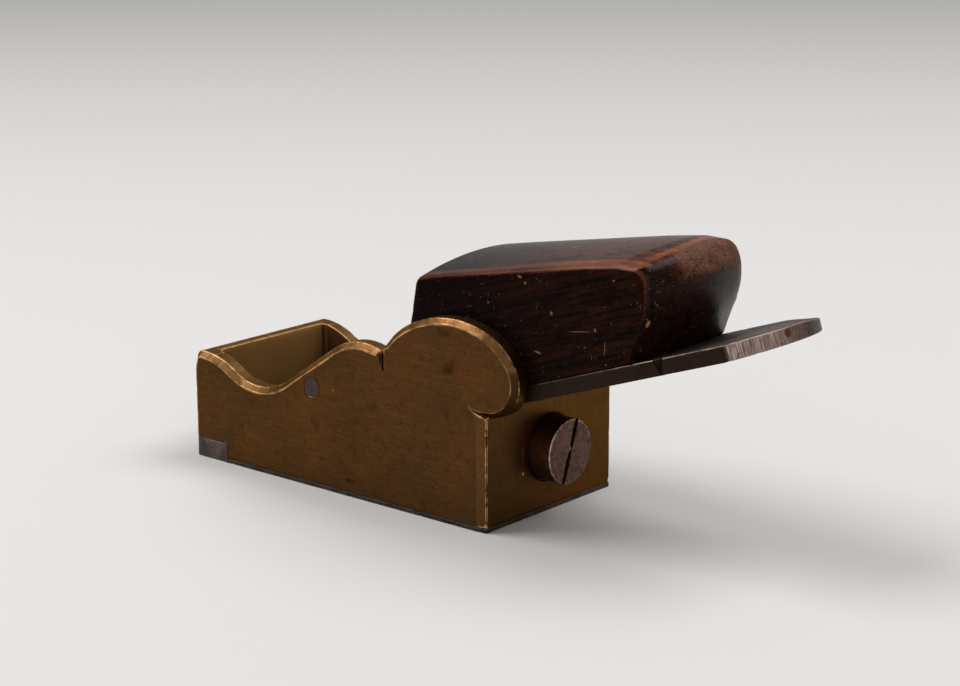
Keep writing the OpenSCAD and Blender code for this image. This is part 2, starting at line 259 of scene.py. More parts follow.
def platePart(outer, low, high, lowRadius, highRadius, between=4, spacing=0.8, lines=()):
    # outline carried through a thickness, with arrises as quarter circles: inset r(1 - sin a) and height
    # r(1 - cos a). Low and high are heights over the flat points; a radius is one number, or one for each
    low, high = heightOver(low), heightOver(high)
    out = outwardOf(outer)
    thick = high(outer) - low(outer)
    rows, worn, caps = [[], []], [[], []], []
    for which, (radius, height, way) in enumerate(((lowRadius, low, 1), (highRadius, high, -1))):
        r = np.minimum(radius, thick * 0.49)
        for turn in quarterTurns:
            flat = outer - out * r[:, None] * (1 - math.sin(turn))
            rows[which].append(columns(flat, height(flat) + way * r * (1 - math.cos(turn))))
            worn[which].append(r * abs(turn - math.pi / 4))
        points, faces, fromEdge = fillPart(
            [rows[which][0][:, :2]], lambda p: columns(p, height(p)), spacing, lines)
        caps.append((points, faces, fromEdge + np.min(radius) * math.pi / 4))
    shares = [step / between for step in range(1, between)]
    middle = [rows[0][-1] + share * (rows[1][-1] - rows[0][-1]) for share in shares]
    middleWorn = [np.minimum(share, 1 - share) * thick for share in shares]
    wall = gridPart(np.array(rows[0] + middle + rows[1][::-1]),
                    np.array(worn[0] + middleWorn + worn[1][::-1]), closed=True)
    return [wall, *caps]


def placedParts(parts, place):
    # the parts with their points moved by a function of (x, y, z)
    return [(place(*points.T), faces, worn) for points, faces, worn in parts]


weldSteps = 2e3  # points that round to the same step of 1 / weldSteps mm become one


def makePiece(name, parts, body, node, material):
    # welds the parts, drops the faces that have closed up, and turns the faces outwards
    counts = np.cumsum([0] + [len(part[0]) for part in parts])
    points = np.concatenate([part[0] for part in parts])
    faces = np.concatenate([part[1] + start for part, start in zip(parts, counts)])
    worn = np.concatenate([part[2] for part in parts])
    steps = np.round(points * weldSteps).astype(int)
    _, first, same = np.unique(steps, axis=0, return_index=True, return_inverse=True)
    same = same.ravel()
    least = np.full(len(first), 1e3)
    np.minimum.at(least, same, worn)
    faces = same[faces]
    keeps = faces != np.roll(faces, 1, axis=1)
    enough = keeps.sum(1) >= 3
    faces, keeps = faces[enough], keeps[enough]
    sizes = keeps.sum(1)
    mesh = bpy.data.meshes.new(name)
    mesh.vertices.add(len(first))
    mesh.vertices.foreach_set("co", ((points[first] - [soleLength / 2, 0, 0]) * mm).ravel())
    mesh.loops.add(int(sizes.sum()))
    mesh.loops.foreach_set("vertex_index", faces[keeps])
    mesh.polygons.add(len(faces))
    mesh.polygons.foreach_set("loop_start", np.concatenate([[0], np.cumsum(sizes)[:-1]]))
    mesh.update(calc_edges=True)
    mesh.validate()
    mesh.attributes.new("edgeMm", "FLOAT", "POINT").data.foreach_set("value", least.astype(np.float32))
    shell = bmesh.new()
    shell.from_mesh(mesh)
    bmesh.ops.delete(shell, geom=[v for v in shell.verts if not v.link_faces], context="VERTS")
    bmesh.ops.recalc_face_normals(shell, faces=shell.faces)
    for face in shell.faces:
        face.smooth = True
    openEdges = sum(1 for edge in shell.edges if len(edge.link_faces) != 2)
    shell.to_mesh(mesh)
    shell.free()
    piece = bpy.data.objects.new(name, mesh)
    bpy.context.scene.collection.objects.link(piece)
    mesh.materials.append(material)
    piece.modifiers.new("evenShading", "WEIGHTED_NORMAL").weight = 80
    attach(piece, body)
    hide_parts(node)
    print(f"made {name}: {len(mesh.vertices)} points, {len(mesh.polygons)} faces, {openEdges} open edges")
    return piece


def vertexValues(mesh, name, width=3):
    # one value of every vertex, as rows
    values = np.empty(len(mesh.vertices) * width)
    mesh.vertices.foreach_get(name, values)
    return values.reshape(-1, width)


def dented(piece, marks):
    # nicks and dents: a point moves against its normal by depth * (1 - (distance / radius)^2)^2
    mesh = piece.data
    points, normals = vertexValues(mesh, "co"), vertexValues(mesh, "normal")
    sunk = np.zeros(len(points))
    for x, y, z, radius, depth in marks:
        away = np.linalg.norm(points / mm + [soleLength / 2 - x, -y, -z], axis=1)
        sunk = np.maximum(sunk, depth * np.clip(1 - (away / radius) ** 2, 0, 1) ** 2)
    moved = np.clip(points - normals * sunk[:, None] * mm, points.min(0), points.max(0))
    mesh.vertices.foreach_set("co", moved.ravel())
    mesh.update()


def scatteredMarks(piece, count, seed, radii, depths, lowest=-1e3):
    # marks at random places on the piece's worn edges, above a height
    mesh = piece.data
    worn = np.empty(len(mesh.vertices))
    mesh.attributes["edgeMm"].data.foreach_get("value", worn)
    points = vertexValues(mesh, "co") / mm + [soleLength / 2, 0, 0]
    points = points[(worn < 0.3) & (points[:, 2] > lowest)]
    chance = np.random.default_rng(seed)
    chosen = points[chance.integers(0, len(points), count)]
    return [(*place, chance.uniform(*radii), chance.uniform(*depths)) for place in chosen]


def bedPlaced(along, across, off):
    # from the bed's frame (along the bed, across, square to the bed) to X, Y, Z
    return columns(mouthX + along * bedCos - off * bedSin, across, along * bedSin + off * bedCos)


def bedZ(x):
    # height of the bed: distance behind the mouth * tan(bed angle)
    return (x - mouthX) * math.tan(bedSlope)


# What lies on the bed: the iron, the wedge on it, and the pin over the wedge's tongue

pin = dict(back=45.5, diameter=4.0, fit=0.01, gap=0.1)
iron = dict(
    thickness=3.0, length=132.0, width=31.0, grindAngle=30.0, tailRise=5.0, arris=0.18, tailWorn=0.7,
    farRound=2.6, notchAt=112.7, notchWidth=2.1, notchDepth=0.8)
wedge = dict(
    width=30.6, tongue=6.7, taper=6.5, nose=12.0, noseThickness=1.4, noseBevel=4.5,
    restStart=22.6, restLength=66.0, restHeight=27.2, frontLean=29.5, topFall=9.2,
    crown=1.6, rearCrown=1.2, twist=0.8, rearTwist=0.35,
    arris=0.28, frontRound=0.8, rearRound=1.7, rearBulge=3.8, shoulderLength=6.8, shoulderFall=19.0,
    rearLean=0.7, rearHeight=13.2, tuckLength=9.4, tuckMiddle=2.2,
    cornerRadii=(0.3, 0.7, 14, 7.5, 3.2, 9, 2.2, 2.4, 2, 0.4),  # round the outline, from the nose's foot
)
ironTop = slideGap + iron["thickness"]
wedgeFloor = ironTop + slideGap
pinOff = wedgeFloor + wedge["tongue"] + pin["gap"] + pin["diameter"] / 2
pinX = soleLength - pin["back"]
pinAlong = (pinX - mouthX + pinOff * bedSin) / bedCos
pinAt = np.array([pinX, pinAlong * bedSin + pinOff * bedCos])


# The casting

casting = dict(
    cheek=3.8, toeWall=3.7, throatRadius=1.6, bevel=1.1, toeBevel=0.5, slitBevel=0.6, arris=0.13,
    reliefWidth=2.4, reliefDepth=0.25,
    toeHeight=22.8, toeRound=1.6, dipX=18.4, dipHeight=18.0, dipRadius=14.2,
    crestBack=32.2, crestHeight=32.0, crestRadius=13.9, crestTurnRadius=1.8,
    slitBack=26.3, slitWidth=0.8, slitDepth=5.0, slitLean=0.2,
    lobeBack=29.55, lobeRise=10.6, lobeHeading=81.6,
    lobeRadii=(17.9, 24.0, 14.6, 7.0), lobeTurns=(52.0, 47.0, 37.0), scrollTurn=38.0,
    seatRadius=6.8, seatDepth=1.0, boreRadius=3.26, boreDepth=13.0, screwHeight=12.8,
    dents=[(80.0, -19.1, 1.3, 0.8, 0.25), (80.0, -18.7, 18.9, 0.5, 0.2), (80.0, 18.9, 1.2, 0.9, 0.2)],
)


def scrollRuns(shape):
    # the cheek's edge as arcs that touch: toe corner, shoulder, dip, flank, crest, its corner, and four
    # of the lobe. Centres of arcs that touch lie the sum or the difference of their radii apart
    dip = np.array([shape.dipX, shape.dipHeight + shape.dipRadius])
    over = dip[1] - shape.toeHeight
    run = shape.dipX - shape.toeRound
    shoulderRadius = (run ** 2 + over ** 2 - shape.dipRadius ** 2) / (2 * (shape.dipRadius - over))
    shoulder = np.array([shape.toeRound, shape.toeHeight - shoulderRadius])
    shoulderEnd = angleOf(dip - shoulder)
    crest = np.array([soleLength - shape.crestBack, shape.crestHeight - shape.crestRadius])
    gap = crest - dip
    lean = math.acos((shape.dipRadius + shape.crestRadius) / np.linalg.norm(gap))
    flank = angleOf(gap) - math.degrees(lean)
    slit = soleLength - shape.slitBack
    turnX = slit - shape.slitWidth / 2 - shape.crestTurnRadius
    turnOut = shape.crestRadius - shape.crestTurnRadius
    turn = np.array([turnX, crest[1] + math.sqrt(turnOut ** 2 - (turnX - crest[0]) ** 2)])
    turnStart = angleOf(turn - crest)
    wallAngle = math.degrees(math.acos((shape.toeWall + shape.throatRadius - shoulder[0]) / shoulderRadius))
    crestRuns = joined(
        arcRun(shoulder, shoulderRadius, wallAngle, shoulderEnd),
        arcRun(dip, shape.dipRadius, shoulderEnd + 180, flank + 360),
        lineRun(dip + shape.dipRadius * headingOf(flank), crest - shape.crestRadius * headingOf(flank)),
        arcRun(crest, shape.crestRadius, flank + 180, turnStart),
        arcRun(turn, shape.crestTurnRadius, turnStart, 0, station / 2))
    way = shape.lobeHeading + 90
    start = soleLength - shape.lobeBack
    centre = np.array([start, bedZ(start) + shape.lobeRise]) + shape.lobeRadii[0] * headingOf(way - 180)
    lobeWay = 180 - math.degrees(math.acos((centre[0] - slit - shape.slitWidth / 2) / shape.lobeRadii[0]))
    lobe = []
    for radius, nextRadius, turnBy in zip(shape.lobeRadii, shape.lobeRadii[1:], shape.lobeTurns):
        way -= turnBy
        lobe.append(arcRun(centre, radius, lobeWay, way))
        centre, lobeWay = centre + (radius - nextRadius) * headingOf(way), way
    heelWay = -math.degrees(math.acos((soleLength - centre[0]) / shape.lobeRadii[-1]))
    lobe.append(arcRun(centre, shape.lobeRadii[-1], way, heelWay))
    return SimpleNamespace(
        toeCorner=arcRun([shape.toeRound, shape.toeHeight - shape.toeRound], shape.toeRound, 180, 90),
        wallTop=arcRun(shoulder, shoulderRadius, 90, wallAngle), crest=crestRuns,
        foot=np.array([slit + shape.slitLean, shape.crestHeight - shape.slitDepth]),
        lobe=joined(*lobe), volute=centre, heelWay=heelWay)


def castingNearHalf(shape):
    # bevel, side face, cheek's edge, toe wall, inner face, bed, heel and undersides of one half.
    # Points are (x, height, depth), where depth grows from the side towards the middle
    length, cheek, arris = soleLength, shape.cheek, shape.arris
    wall, throat = shape.toeWall, shape.throatRadius
    fromAbove, fromBehind = [0, 2], [2, 1]
    heelZ = bedZ(length)
    runs = scrollRuns(shape)
    voluteLow = runs.lobe[-1][1]
    small = 1.5 * arris
    bedStart = mouthX + soleZ / math.tan(bedSlope)
    slitWall = lineRun(runs.crest[-1], runs.foot)
    slitBack = joined(lineRun(runs.foot, runs.lobe[0])[:-2], runs.lobe[:1])
    # at the toe's sharp corner a point is left out on both sides, so that the insets don't cross
    order = dict(
        lobe=runs.lobe[::-1], slitBack=slitBack[::-1], slitWall=slitWall[::-1],
        crest=runs.crest[::-1], wallTop=runs.wallTop[::-1], toeCorner=runs.toeCorner[::-1],
        toe=np.delete(lineRun([0, shape.toeHeight - shape.toeRound], [0, blockZ]), -2, axis=0),
        notchTop=np.delete(lineRun([0, blockZ], [blockX, blockZ]), 1, axis=0),
        notchBack=lineRun([blockX, blockZ], [blockX, soleZ]),
        sole=joined(lineRun([blockX, soleZ], [bedStart, soleZ]),
                    lineRun([bedStart, soleZ], [length, soleZ])),
        heel=lineRun([length, soleZ], [length, voluteLow - 1.4 * small]))
    path = joined(*order.values())
    spans, at = {}, 0
    for name, run in order.items():
        spans[name] = slice(at, at + len(run))
        at += len(run) - 1
    out = outwardOf(path)
    flatStation = spans["crest"].stop - 1
    out[0], out[-1], out[flatStation] = headingOf(runs.heelWay), [1, 0], [0, 1]
    # width of the bevel at each station: full on the scroll, fading at the slit and the toe
    bevel = np.full(len(path), small)
    bevel[spans["lobe"]] = shape.bevel
    bevel[spans["slitBack"]] = small
    bevel[spans["slitBack"].start] = shape.bevel
    bevel[spans["slitWall"]] = small + (shape.slitBevel - small) * np.linspace(0, 1, len(slitWall)) ** 1.8
    for name in ("crest", "wallTop", "toeCorner"):
        bevel[spans[name]] = shape.bevel
    fromSlit = (slitWall[0, 0] - path[spans["crest"], 0]) / shape.crestTurnRadius
    bevel[spans["crest"]] += (shape.slitBevel - shape.bevel) * (1 - smooth(fromSlit))
    down = (path[spans["toe"], 1] - shape.toeHeight + 4) / 3
    bevel[spans["toe"]] = shape.toeBevel + (shape.bevel - shape.toeBevel) * smooth(down)
    travelled = np.concatenate([[0], np.cumsum(np.linalg.norm(np.diff(path, axis=0), axis=1))])
    lower = np.minimum(arris, bevel * 0.4)
    upper = lower * np.clip(travelled / 0.8, 0, 1)
    slope = math.sqrt(0.5)
    # the bevelled edge as (inset, depth): arris at the side, middle of the bevel, arris at the edge
    profile, worn = turnedEdge(columns(bevel + lower, 0), columns(bevel, 0),
                               columns(bevel - slope * lower, slope * lower), lower)
    atEdge, atEdgeWorn = turnedEdge(columns(slope * upper, bevel - slope * upper), columns(0, bevel),
                                    columns(0, bevel + upper), lower)
    profile += [columns(bevel / 2, bevel / 2), *atEdge]
    worn += [bevel * 0.7, *atEdgeWorn]

    def carried(insetDepth, which=slice(None)):
        # (inset, depth) along the outline as points: path - out * inset
        return columns(path[which] - out[which] * insetDepth[:, :1], insetDepth[:, 1:])

    rows = np.array([carried(row) for row in profile])
    rows[4:, 0, 0] = length
    parts = [gridPart(rows, np.array(worn))]
    edgeDepth = profile[-1][:, 1]

    # The scroll's cut runs on into the side: the bevel's slope meets an upright wall
    angles = np.linspace(runs.heelWay, runs.heelWay - shape.scrollTurn, 24)
    fade = 1 - np.linspace(0, 1, len(angles))
    cutWay = headingOf(angles)
    cutAt = runs.volute + shape.lobeRadii[-1] * cutWay
    cutWidth, cutArris = shape.bevel * fade, lower[0] * np.minimum(fade * 3, 1)
    lip = (bevel[-1] + lower[-1]) * np.minimum(fade * 3, 1)
    cutRows, cutWorn = turnedEdge(columns(cutWidth + cutArris, 0), columns(cutWidth, 0),
                                  columns(cutWidth - slope * cutArris, slope * cutArris),
                                  np.full(len(fade), arris))
    atLip, atLipWorn = turnedEdge(columns(0, lip), np.zeros((len(fade), 2)), columns(-lip, 0), lip)
    cutRows += [columns(cutWidth / 2, cutWidth / 2), columns(0, cutWidth), *atLip]
    cutWorn += [cutWidth * 0.7, cutWidth, *atLipWorn]
    cut = np.array([columns(cutAt - cutWay * row[:, :1], row[:, 1:]) for row in cutRows])
    cut[5:, 0, 0] = length
    cut[:5, 0] = rows[:5, 0]
    cut[-1, 0] = rows[0, -1]
    cut[-1, 1, 0] = min(cut[-1, 1, 0], rows[0, -1, 0])
    parts.append(gridPart(cut, np.array(cutWorn)))
    corner = np.concatenate([rows[:, -1], cut[-4:-1, 0]])
    fan = np.array([[0, i, i + 1, i + 1] for i in range(1, len(corner) - 1)])
    parts.append((corner, fan, np.zeros(len(corner))))

    # Side face, with the pin's hole and a crease where the relief starts
    pinLoop = arcRun(pinAt, pin["diameter"] / 2 + pin["fit"], 360, 0)[:-1]
    sideLoop = joined(rows[0][:, :2], cut[-1][1:, :2], cut[0][::-1][1:-1, :2])
    reliefX = length - shape.reliefWidth
    crease = lineRun([reliefX, soleZ + 2], [reliefX, voluteLow - 2])
    parts.append(fillPart([sideLoop, pinLoop], lambda p: columns(p, 0), 0.7,
                          [crease], [joined(sideLoop, sideLoop[:1])]))
    parts.append(gridPart(np.array([columns(pinLoop, depth) for depth in (0, 1, cheek)]), 9, closed=True))

    # Edge of the cheek, from the heel over the scroll to the back of the toe wall
    scroll = slice(0, flatStation + 1)
    steps = np.array([0, 0.12, 0.3, 0.5, 0.7, 0.88, 1])[:, None]
    depths = edgeDepth[scroll] + steps * (cheek - arris - edgeDepth[scroll])
    each = np.ones((flatStation + 1, 1))
    turned, turnedWorn = turnedEdge(
        each * [0, cheek - arris], each * [0, cheek], each * [arris, cheek], each[:, 0] * arris)
    edgeRows = np.array(
        [columns(path[scroll], d) for d in depths] + [carried(row, scroll) for row in turned[1:]])
    edgeWorn = [np.minimum(d - edgeDepth[scroll], cheek - d) for d in depths] + turnedWorn[1:]
    edgeRows[:, 0, 0] = length
    parts.append(gridPart(edgeRows, np.array(edgeWorn)))
    innerTop = edgeRows[-1]

    # Toe wall: its front and rounded top go right across, and its back turns into the cheeks
    topOf = joined(runs.toeCorner, runs.wallTop, runs.crest)

    def topZ(x):
        # height of the scroll's edge over x
        return np.interp(x, topOf[:, 0], topOf[:, 1])

    frontSpan = slice(spans["toeCorner"].start, spans["toe"].stop)
    front = edgeDepth[frontSpan] + np.linspace(0, 1, 34)[:, None] * (sideY - edgeDepth[frontSpan])
    frontGrid = np.array([columns(path[frontSpan], depth) for depth in front])
    parts.append(gridPart(frontGrid, np.minimum(front - edgeDepth[frontSpan], 3)))
    planCorner = arcRun([wall + throat, cheek + throat], throat, 270, 180, station / 2)
    planRun = joined(planCorner, lineRun([wall, cheek + throat], [wall, sideY]))
    planOut = np.concatenate([headingOf(np.linspace(270, 180, len(planCorner))),
                              np.tile([-1.0, 0.0], (len(planRun) - len(planCorner), 1))])
    turned, turnWorn = turnedEdge(
        np.array([arris, 0]), np.zeros(2), np.array([0, arris]), np.full(len(planRun), arris))
    turnRows = []
    for (offset, drop), edgeRow in zip(turned, edgeRows[6:]):
        flat = planRun + planOut * offset
        turnRows.append(columns(flat[:, 0], topZ(flat[:, 0]) - drop, flat[:, 1]))
        turnRows[-1][0] = edgeRow[-1]
    for share in np.linspace(0, 1, 20)[1:]:
        height = turnRows[3][:, 1] * (1 - share) + blockZ * share
        turnRows.append(columns(planRun[:, 0], height, planRun[:, 1]))
        turnWorn.append(share * (turnRows[3][:, 1] - blockZ))
    turnRows = np.array(turnRows)
    parts.append(gridPart(turnRows, np.array(turnWorn)))
    topLoop = joined(rows[-1][spans["wallTop"]][::-1][:, fromAbove], edgeRows[:7, -1][:, fromAbove],
                     turnRows[0][:, fromAbove], frontGrid[:, 0][::-1][:, fromAbove])[:-1]
    topLoop[np.abs(topLoop[:, 0] - frontGrid[0, 0, 0]) < tiny, 0] = frontGrid[0, 0, 0]
    parts.append(fillPart([topLoop], lambda p: columns(p[:, 0], topZ(p[:, 0]), p[:, 1]), 0.6))

    # Inner face of the cheek, the bed and the rounded end of the bed
    bedRun = lineRun([bedStart, soleZ], [length - arris * bedCos, heelZ - arris * bedSin], 0.8)
    mouthSide = lineRun([blockX, soleZ], [bedStart, soleZ])
    bedTip, bedFall = np.array([length, heelZ]), np.array([length, heelZ - arris])
    bedEnd = np.array(turnedEdge(bedRun[-1], bedTip, bedFall, 0)[0])
    innerLoop = joined(
        innerTop[:, :2], turnRows[3:, 0, :2], lineRun([wall + throat, blockZ], [blockX, blockZ]),
        lineRun([blockX, blockZ], [blockX, soleZ]), mouthSide, bedRun, bedEnd,
        lineRun(bedFall, innerTop[0, :2]))[:-1]
    parts.append(fillPart([innerLoop, pinLoop], lambda p: columns(p, cheek), 0.8, (), [innerTop[:, :2]]))
    bedDepths = np.linspace(cheek, sideY, 20)
    bedPath = joined(bedRun, bedEnd)
    bedWorn = np.maximum(np.linalg.norm(bedPath - bedEnd[1], axis=1) - arris, 0)
    parts.append(gridPart(np.array([columns(bedPath, depth) for depth in bedDepths]), bedWorn))

    # Heel face with the half of the screw's round seat
    half = np.radians(np.linspace(-90, 90, 40))
    seatX, boreX = length - shape.seatDepth, length - shape.boreDepth
    seat = [(length, shape.seatRadius + arris), (length - arris * 0.3, shape.seatRadius + arris * 0.3),
            (length - arris, shape.seatRadius), (seatX, shape.seatRadius), (seatX, shape.boreRadius),
            (boreX, shape.boreRadius), (boreX, 0)]
    seatGrid = np.array([
        columns(x, shape.screwHeight + r * np.sin(half), sideY - r * np.cos(half)) for x, r in seat])
    parts.append(gridPart(seatGrid, np.array([0.5, 0.4, 0.5, 1, 5, 9, 9])[:, None]))
    seatRim = seatGrid[0][:, fromBehind]
    heelEdge = rows[-1][spans["heel"]][:, fromBehind]
    heelFoot = lineRun([sideY, soleZ], heelEdge[0])
    heelLoop = joined(
        heelEdge, cut[-4:-3, 0][:, fromBehind], cut[5:6, 0][:, fromBehind], rows[5:, 0][:, fromBehind],
        edgeRows[1:, 0][:, fromBehind], lineRun([cheek, innerTop[0, 1]], [cheek, heelZ - arris]),
        columns(bedDepths, heelZ - arris),
        lineRun([sideY, heelZ - arris], [sideY, seatRim[-1, 1]]),
        seatRim[::-1], lineRun([sideY, seatRim[0, 1]], [sideY, soleZ]), heelFoot)[:-1]
    parts.append(fillPart([heelLoop], lambda p: columns(length, p[:, 1], p[:, 0]), 0.7, (),
                          [heelEdge, columns(bedDepths, heelZ)]))

    # Hidden undersides, where the steel is let in
    under = rows[-1][spans["sole"]][:, fromAbove]
    underLoop = joined(
        under, columns(length, heelFoot[::-1, 0]), lineRun([length, sideY], [bedStart, sideY]),
        columns(bedStart, bedDepths[::-1]), columns(mouthSide[::-1, 0], cheek), under[:1])[:-1]
    parts.append(fillPart([underLoop], lambda p: columns(p[:, 0], soleZ, p[:, 1]), 1.5))
    notchBack = rows[-1][spans["notchBack"]]
    parts.append(gridPart(np.array([notchBack, notchBack * [1, 1, 0] + [0, 0, cheek]]), 3))
    notch = rows[-1][spans["notchTop"]][:, fromAbove]
    notchLoop = joined(notch, lineRun([blockX, cheek], [wall + throat, cheek]), planRun,
                       lineRun([wall, sideY], [0, sideY]), frontGrid[::-1, -1][:, fromAbove])[:-1]
    parts.append(fillPart([notchLoop], lambda p: columns(p[:, 0], blockZ, p[:, 1]), 1.5))
    return parts, voluteLow


def makeCasting(material):
    # both halves from the near one: Y = side * (half width - depth)
    parts, voluteLow = castingNearHalf(SimpleNamespace(**casting))
    reliefWidth = casting["reliefWidth"]
    placed = []
    for points, faces, worn in parts:
        x, z, depth = points.T
        # relief: a shallow slope towards the heel's upright edge, fading under the scroll
        share = np.clip((x - soleLength + reliefWidth) / reliefWidth, 0, 1)
        share = share * np.clip((voluteLow - z) / 1.5, 0, 1) * np.clip(1 - depth / 3, 0, 1)
        depth = depth + casting["reliefDepth"] * share
        placed += [(columns(x, side * (sideY - depth), z), faces, worn) for side in (-1, 1)]
    piece = makePiece("gunmetalCasting", placed, "plane_body", "casting", material)
    marks = scatteredMarks(piece, count=140, seed=3, radii=(0.3, 0.9), depths=(0.02, 0.08))
    dented(piece, marks + casting["dents"])


# Steel let into the casting

steel = dict(
    seamArris=0.04, seamCorner=0.05, toeCorner=0.3, heelCorner=0.2, toeWorn=0.2, soleWorn=0.1, pinArris=0.03)


def makeToeBlock(material):
    # block across the toe, its front corners cut off as far as the toe's bevel goes
    low, corner, seam = casting["toeBevel"], steel["toeCorner"], steel["seamCorner"]
    outline = roundedOutline(
        [[low, -sideY], [blockX, -sideY], [blockX, sideY], [low, sideY], [0, sideY - low], [0, low - sideY]],
        [corner, seam, seam, corner, corner, corner])
    # worn round in front, crisp at the seam
    lowRadius = steel["seamArris"] + steel["toeWorn"] * smooth(blockX - outline[:, 0])
    parts = platePart(outline, 0, blockZ, lowRadius, steel["seamArris"])
    piece = makePiece("steelToeBlock", parts, "plane_body", "toe_block", material)
    dented(piece, scatteredMarks(piece, count=30, seed=5, radii=(0.3, 0.9), depths=(0.02, 0.1)))


def makeSolePlate(material):
    # plate from the heel to the toe block, with the mouth cut out of its front
    inner, reliefWidth = sideY - casting["cheek"], casting["reliefWidth"]
    corner, seam = steel["heelCorner"], steel["seamCorner"]
    outline = roundedOutline(
        [[blockX, -sideY], [soleLength, -sideY], [soleLength, sideY], [blockX, sideY],
         [blockX, inner], [mouthX, inner], [mouthX, -inner], [blockX, -inner]],
        [seam, corner, corner] + [seam] * 5)
    lowRadius = steel["seamArris"] + steel["soleWorn"] * smooth(outline[:, 0] - blockX)
    parts = platePart(outline, 0, soleZ, lowRadius, steel["seamArris"], 3)

    def sloped(x, y, z):
        # back of the mouth leans with the bed: x + z / tan(bed angle), fading out behind and beside it
        share = np.clip((x - blockX) / plane["mouthGap"], 0, 1) * np.clip(1 - (x - mouthX) / 12, 0, 1)
        share = share * np.clip(inner + 1 - np.abs(y), 0, 1)
        fromRelief = np.maximum(x - soleLength + reliefWidth, 0)
        eased = casting["reliefDepth"] * fromRelief / reliefWidth * (np.abs(y) > inner)
        return columns(x + share * z / math.tan(bedSlope), y - np.sign(y) * eased, z)

    parts = placedParts(parts, sloped)
    piece = makePiece("steelSole", parts, "plane_body", "sole_plate", material)
    dented(piece, scatteredMarks(piece, count=60, seed=6, radii=(0.3, 0.8), depths=(0.02, 0.1)))


def makePin(material):
    # round bar as long as the body is wide
    circle = arcRun([0, 0], pin["diameter"] / 2, 0, 360, 0.25)[:-1]
    parts = platePart(circle, 0, 2 * sideY, steel["pinArris"], steel["pinArris"], 12, 0.5)

    def across(x, z, y):
        # upright outline carried from one side of the plane to the other
        return columns(pinX + x, sideY - y, pinAt[1] + z)

    parts = placedParts(parts, across)
    makePiece("steelCrossPin", parts, "plane_body", "cross_pin", material)


def makeIron(material):
    # flat bar: an outline seen from above, carried through the iron's thickness
    half, length, rise = iron["width"] / 2, iron["length"], iron["tailRise"]
    # radius of the tail's arc from its chord and rise: (half^2 + rise^2) / (2 rise)
    tailRadius = (half ** 2 + rise ** 2) / (2 * rise)
    reach = math.degrees(math.asin(half / tailRadius))
    # far corner rounded by wear: its centre lies farRound inside both the tail's arc and the side
    farRound = iron["farRound"]
    farRise = (half - farRound) / (tailRadius - farRound)
    farTurn = math.degrees(math.asin(farRise))
    farOut = (tailRadius - farRound) * math.sqrt(1 - farRise ** 2)
    farCentre = [length - tailRadius + farOut, half - farRound]
    notchStart, notchEnd = iron["notchAt"] - iron["notchWidth"], iron["notchAt"] + iron["notchWidth"]
    outline = closedPath(
        lineRun([0, -half], [notchStart, -half]), lineRun([notchStart, -half], [notchEnd, -half], 0.12),
        lineRun([notchEnd, -half], [length - rise, -half]),
        arcRun([length - tailRadius, 0], tailRadius, -reach, farTurn),
        arcRun(farCentre, farRound, farTurn, 90, 0.2),
        lineRun([farCentre[0], half], [0, half]), lineRun([0, half], [0, -half]))
    slope = math.tan(math.radians(iron["grindAngle"]))
    grindLength = iron["thickness"] / slope
    crease = lineRun([grindLength, 0.5 - half], [grindLength, half - 0.5])

    def topOf(flat):
        # ground slope at the edge, and a tail that years of striking have worn lower on its far side
        along, across = flat.T
        worn = iron["tailWorn"] * smooth((along - length + 13) / 9) * smooth(across / 15)
        return np.minimum(ironTop - worn, slideGap + np.maximum(along, 0) * slope)

    parts = platePart(outline, slideGap, topOf, iron["arris"], iron["arris"], 5, 0.9, [crease])

    def notched(along, across, off):
        # file nick in the near edge: a groove that widens upwards, depth * (1 - distance / half-width)
        wide = np.maximum(iron["notchWidth"] * 0.5 * off / ironTop, 0.05)
        fromNotch = np.abs(along - iron["notchAt"] - 0.1 * (1 - off))
        deep = iron["notchDepth"] * np.clip(1 - fromNotch / wide, 0, 1)
        return bedPlaced(along, across + deep * smooth((1.2 - half - across) / 0.7), off)

    parts = placedParts(parts, notched)
    piece = makePiece("iron", parts, "iron", "iron", material)
    dented(piece, scatteredMarks(piece, count=60, seed=4, radii=(0.4, 1.1), depths=(0.02, 0.1)))


# The wedge: a side outline carried across the width, then crowned, bulged and worn by hand

def tongueTop(along):
    # height of the tongue's top: its height at the pin, growing behind it with the taper
    return wedge["tongue"] + (along - pinAlong) * math.tan(math.radians(wedge["taper"]))


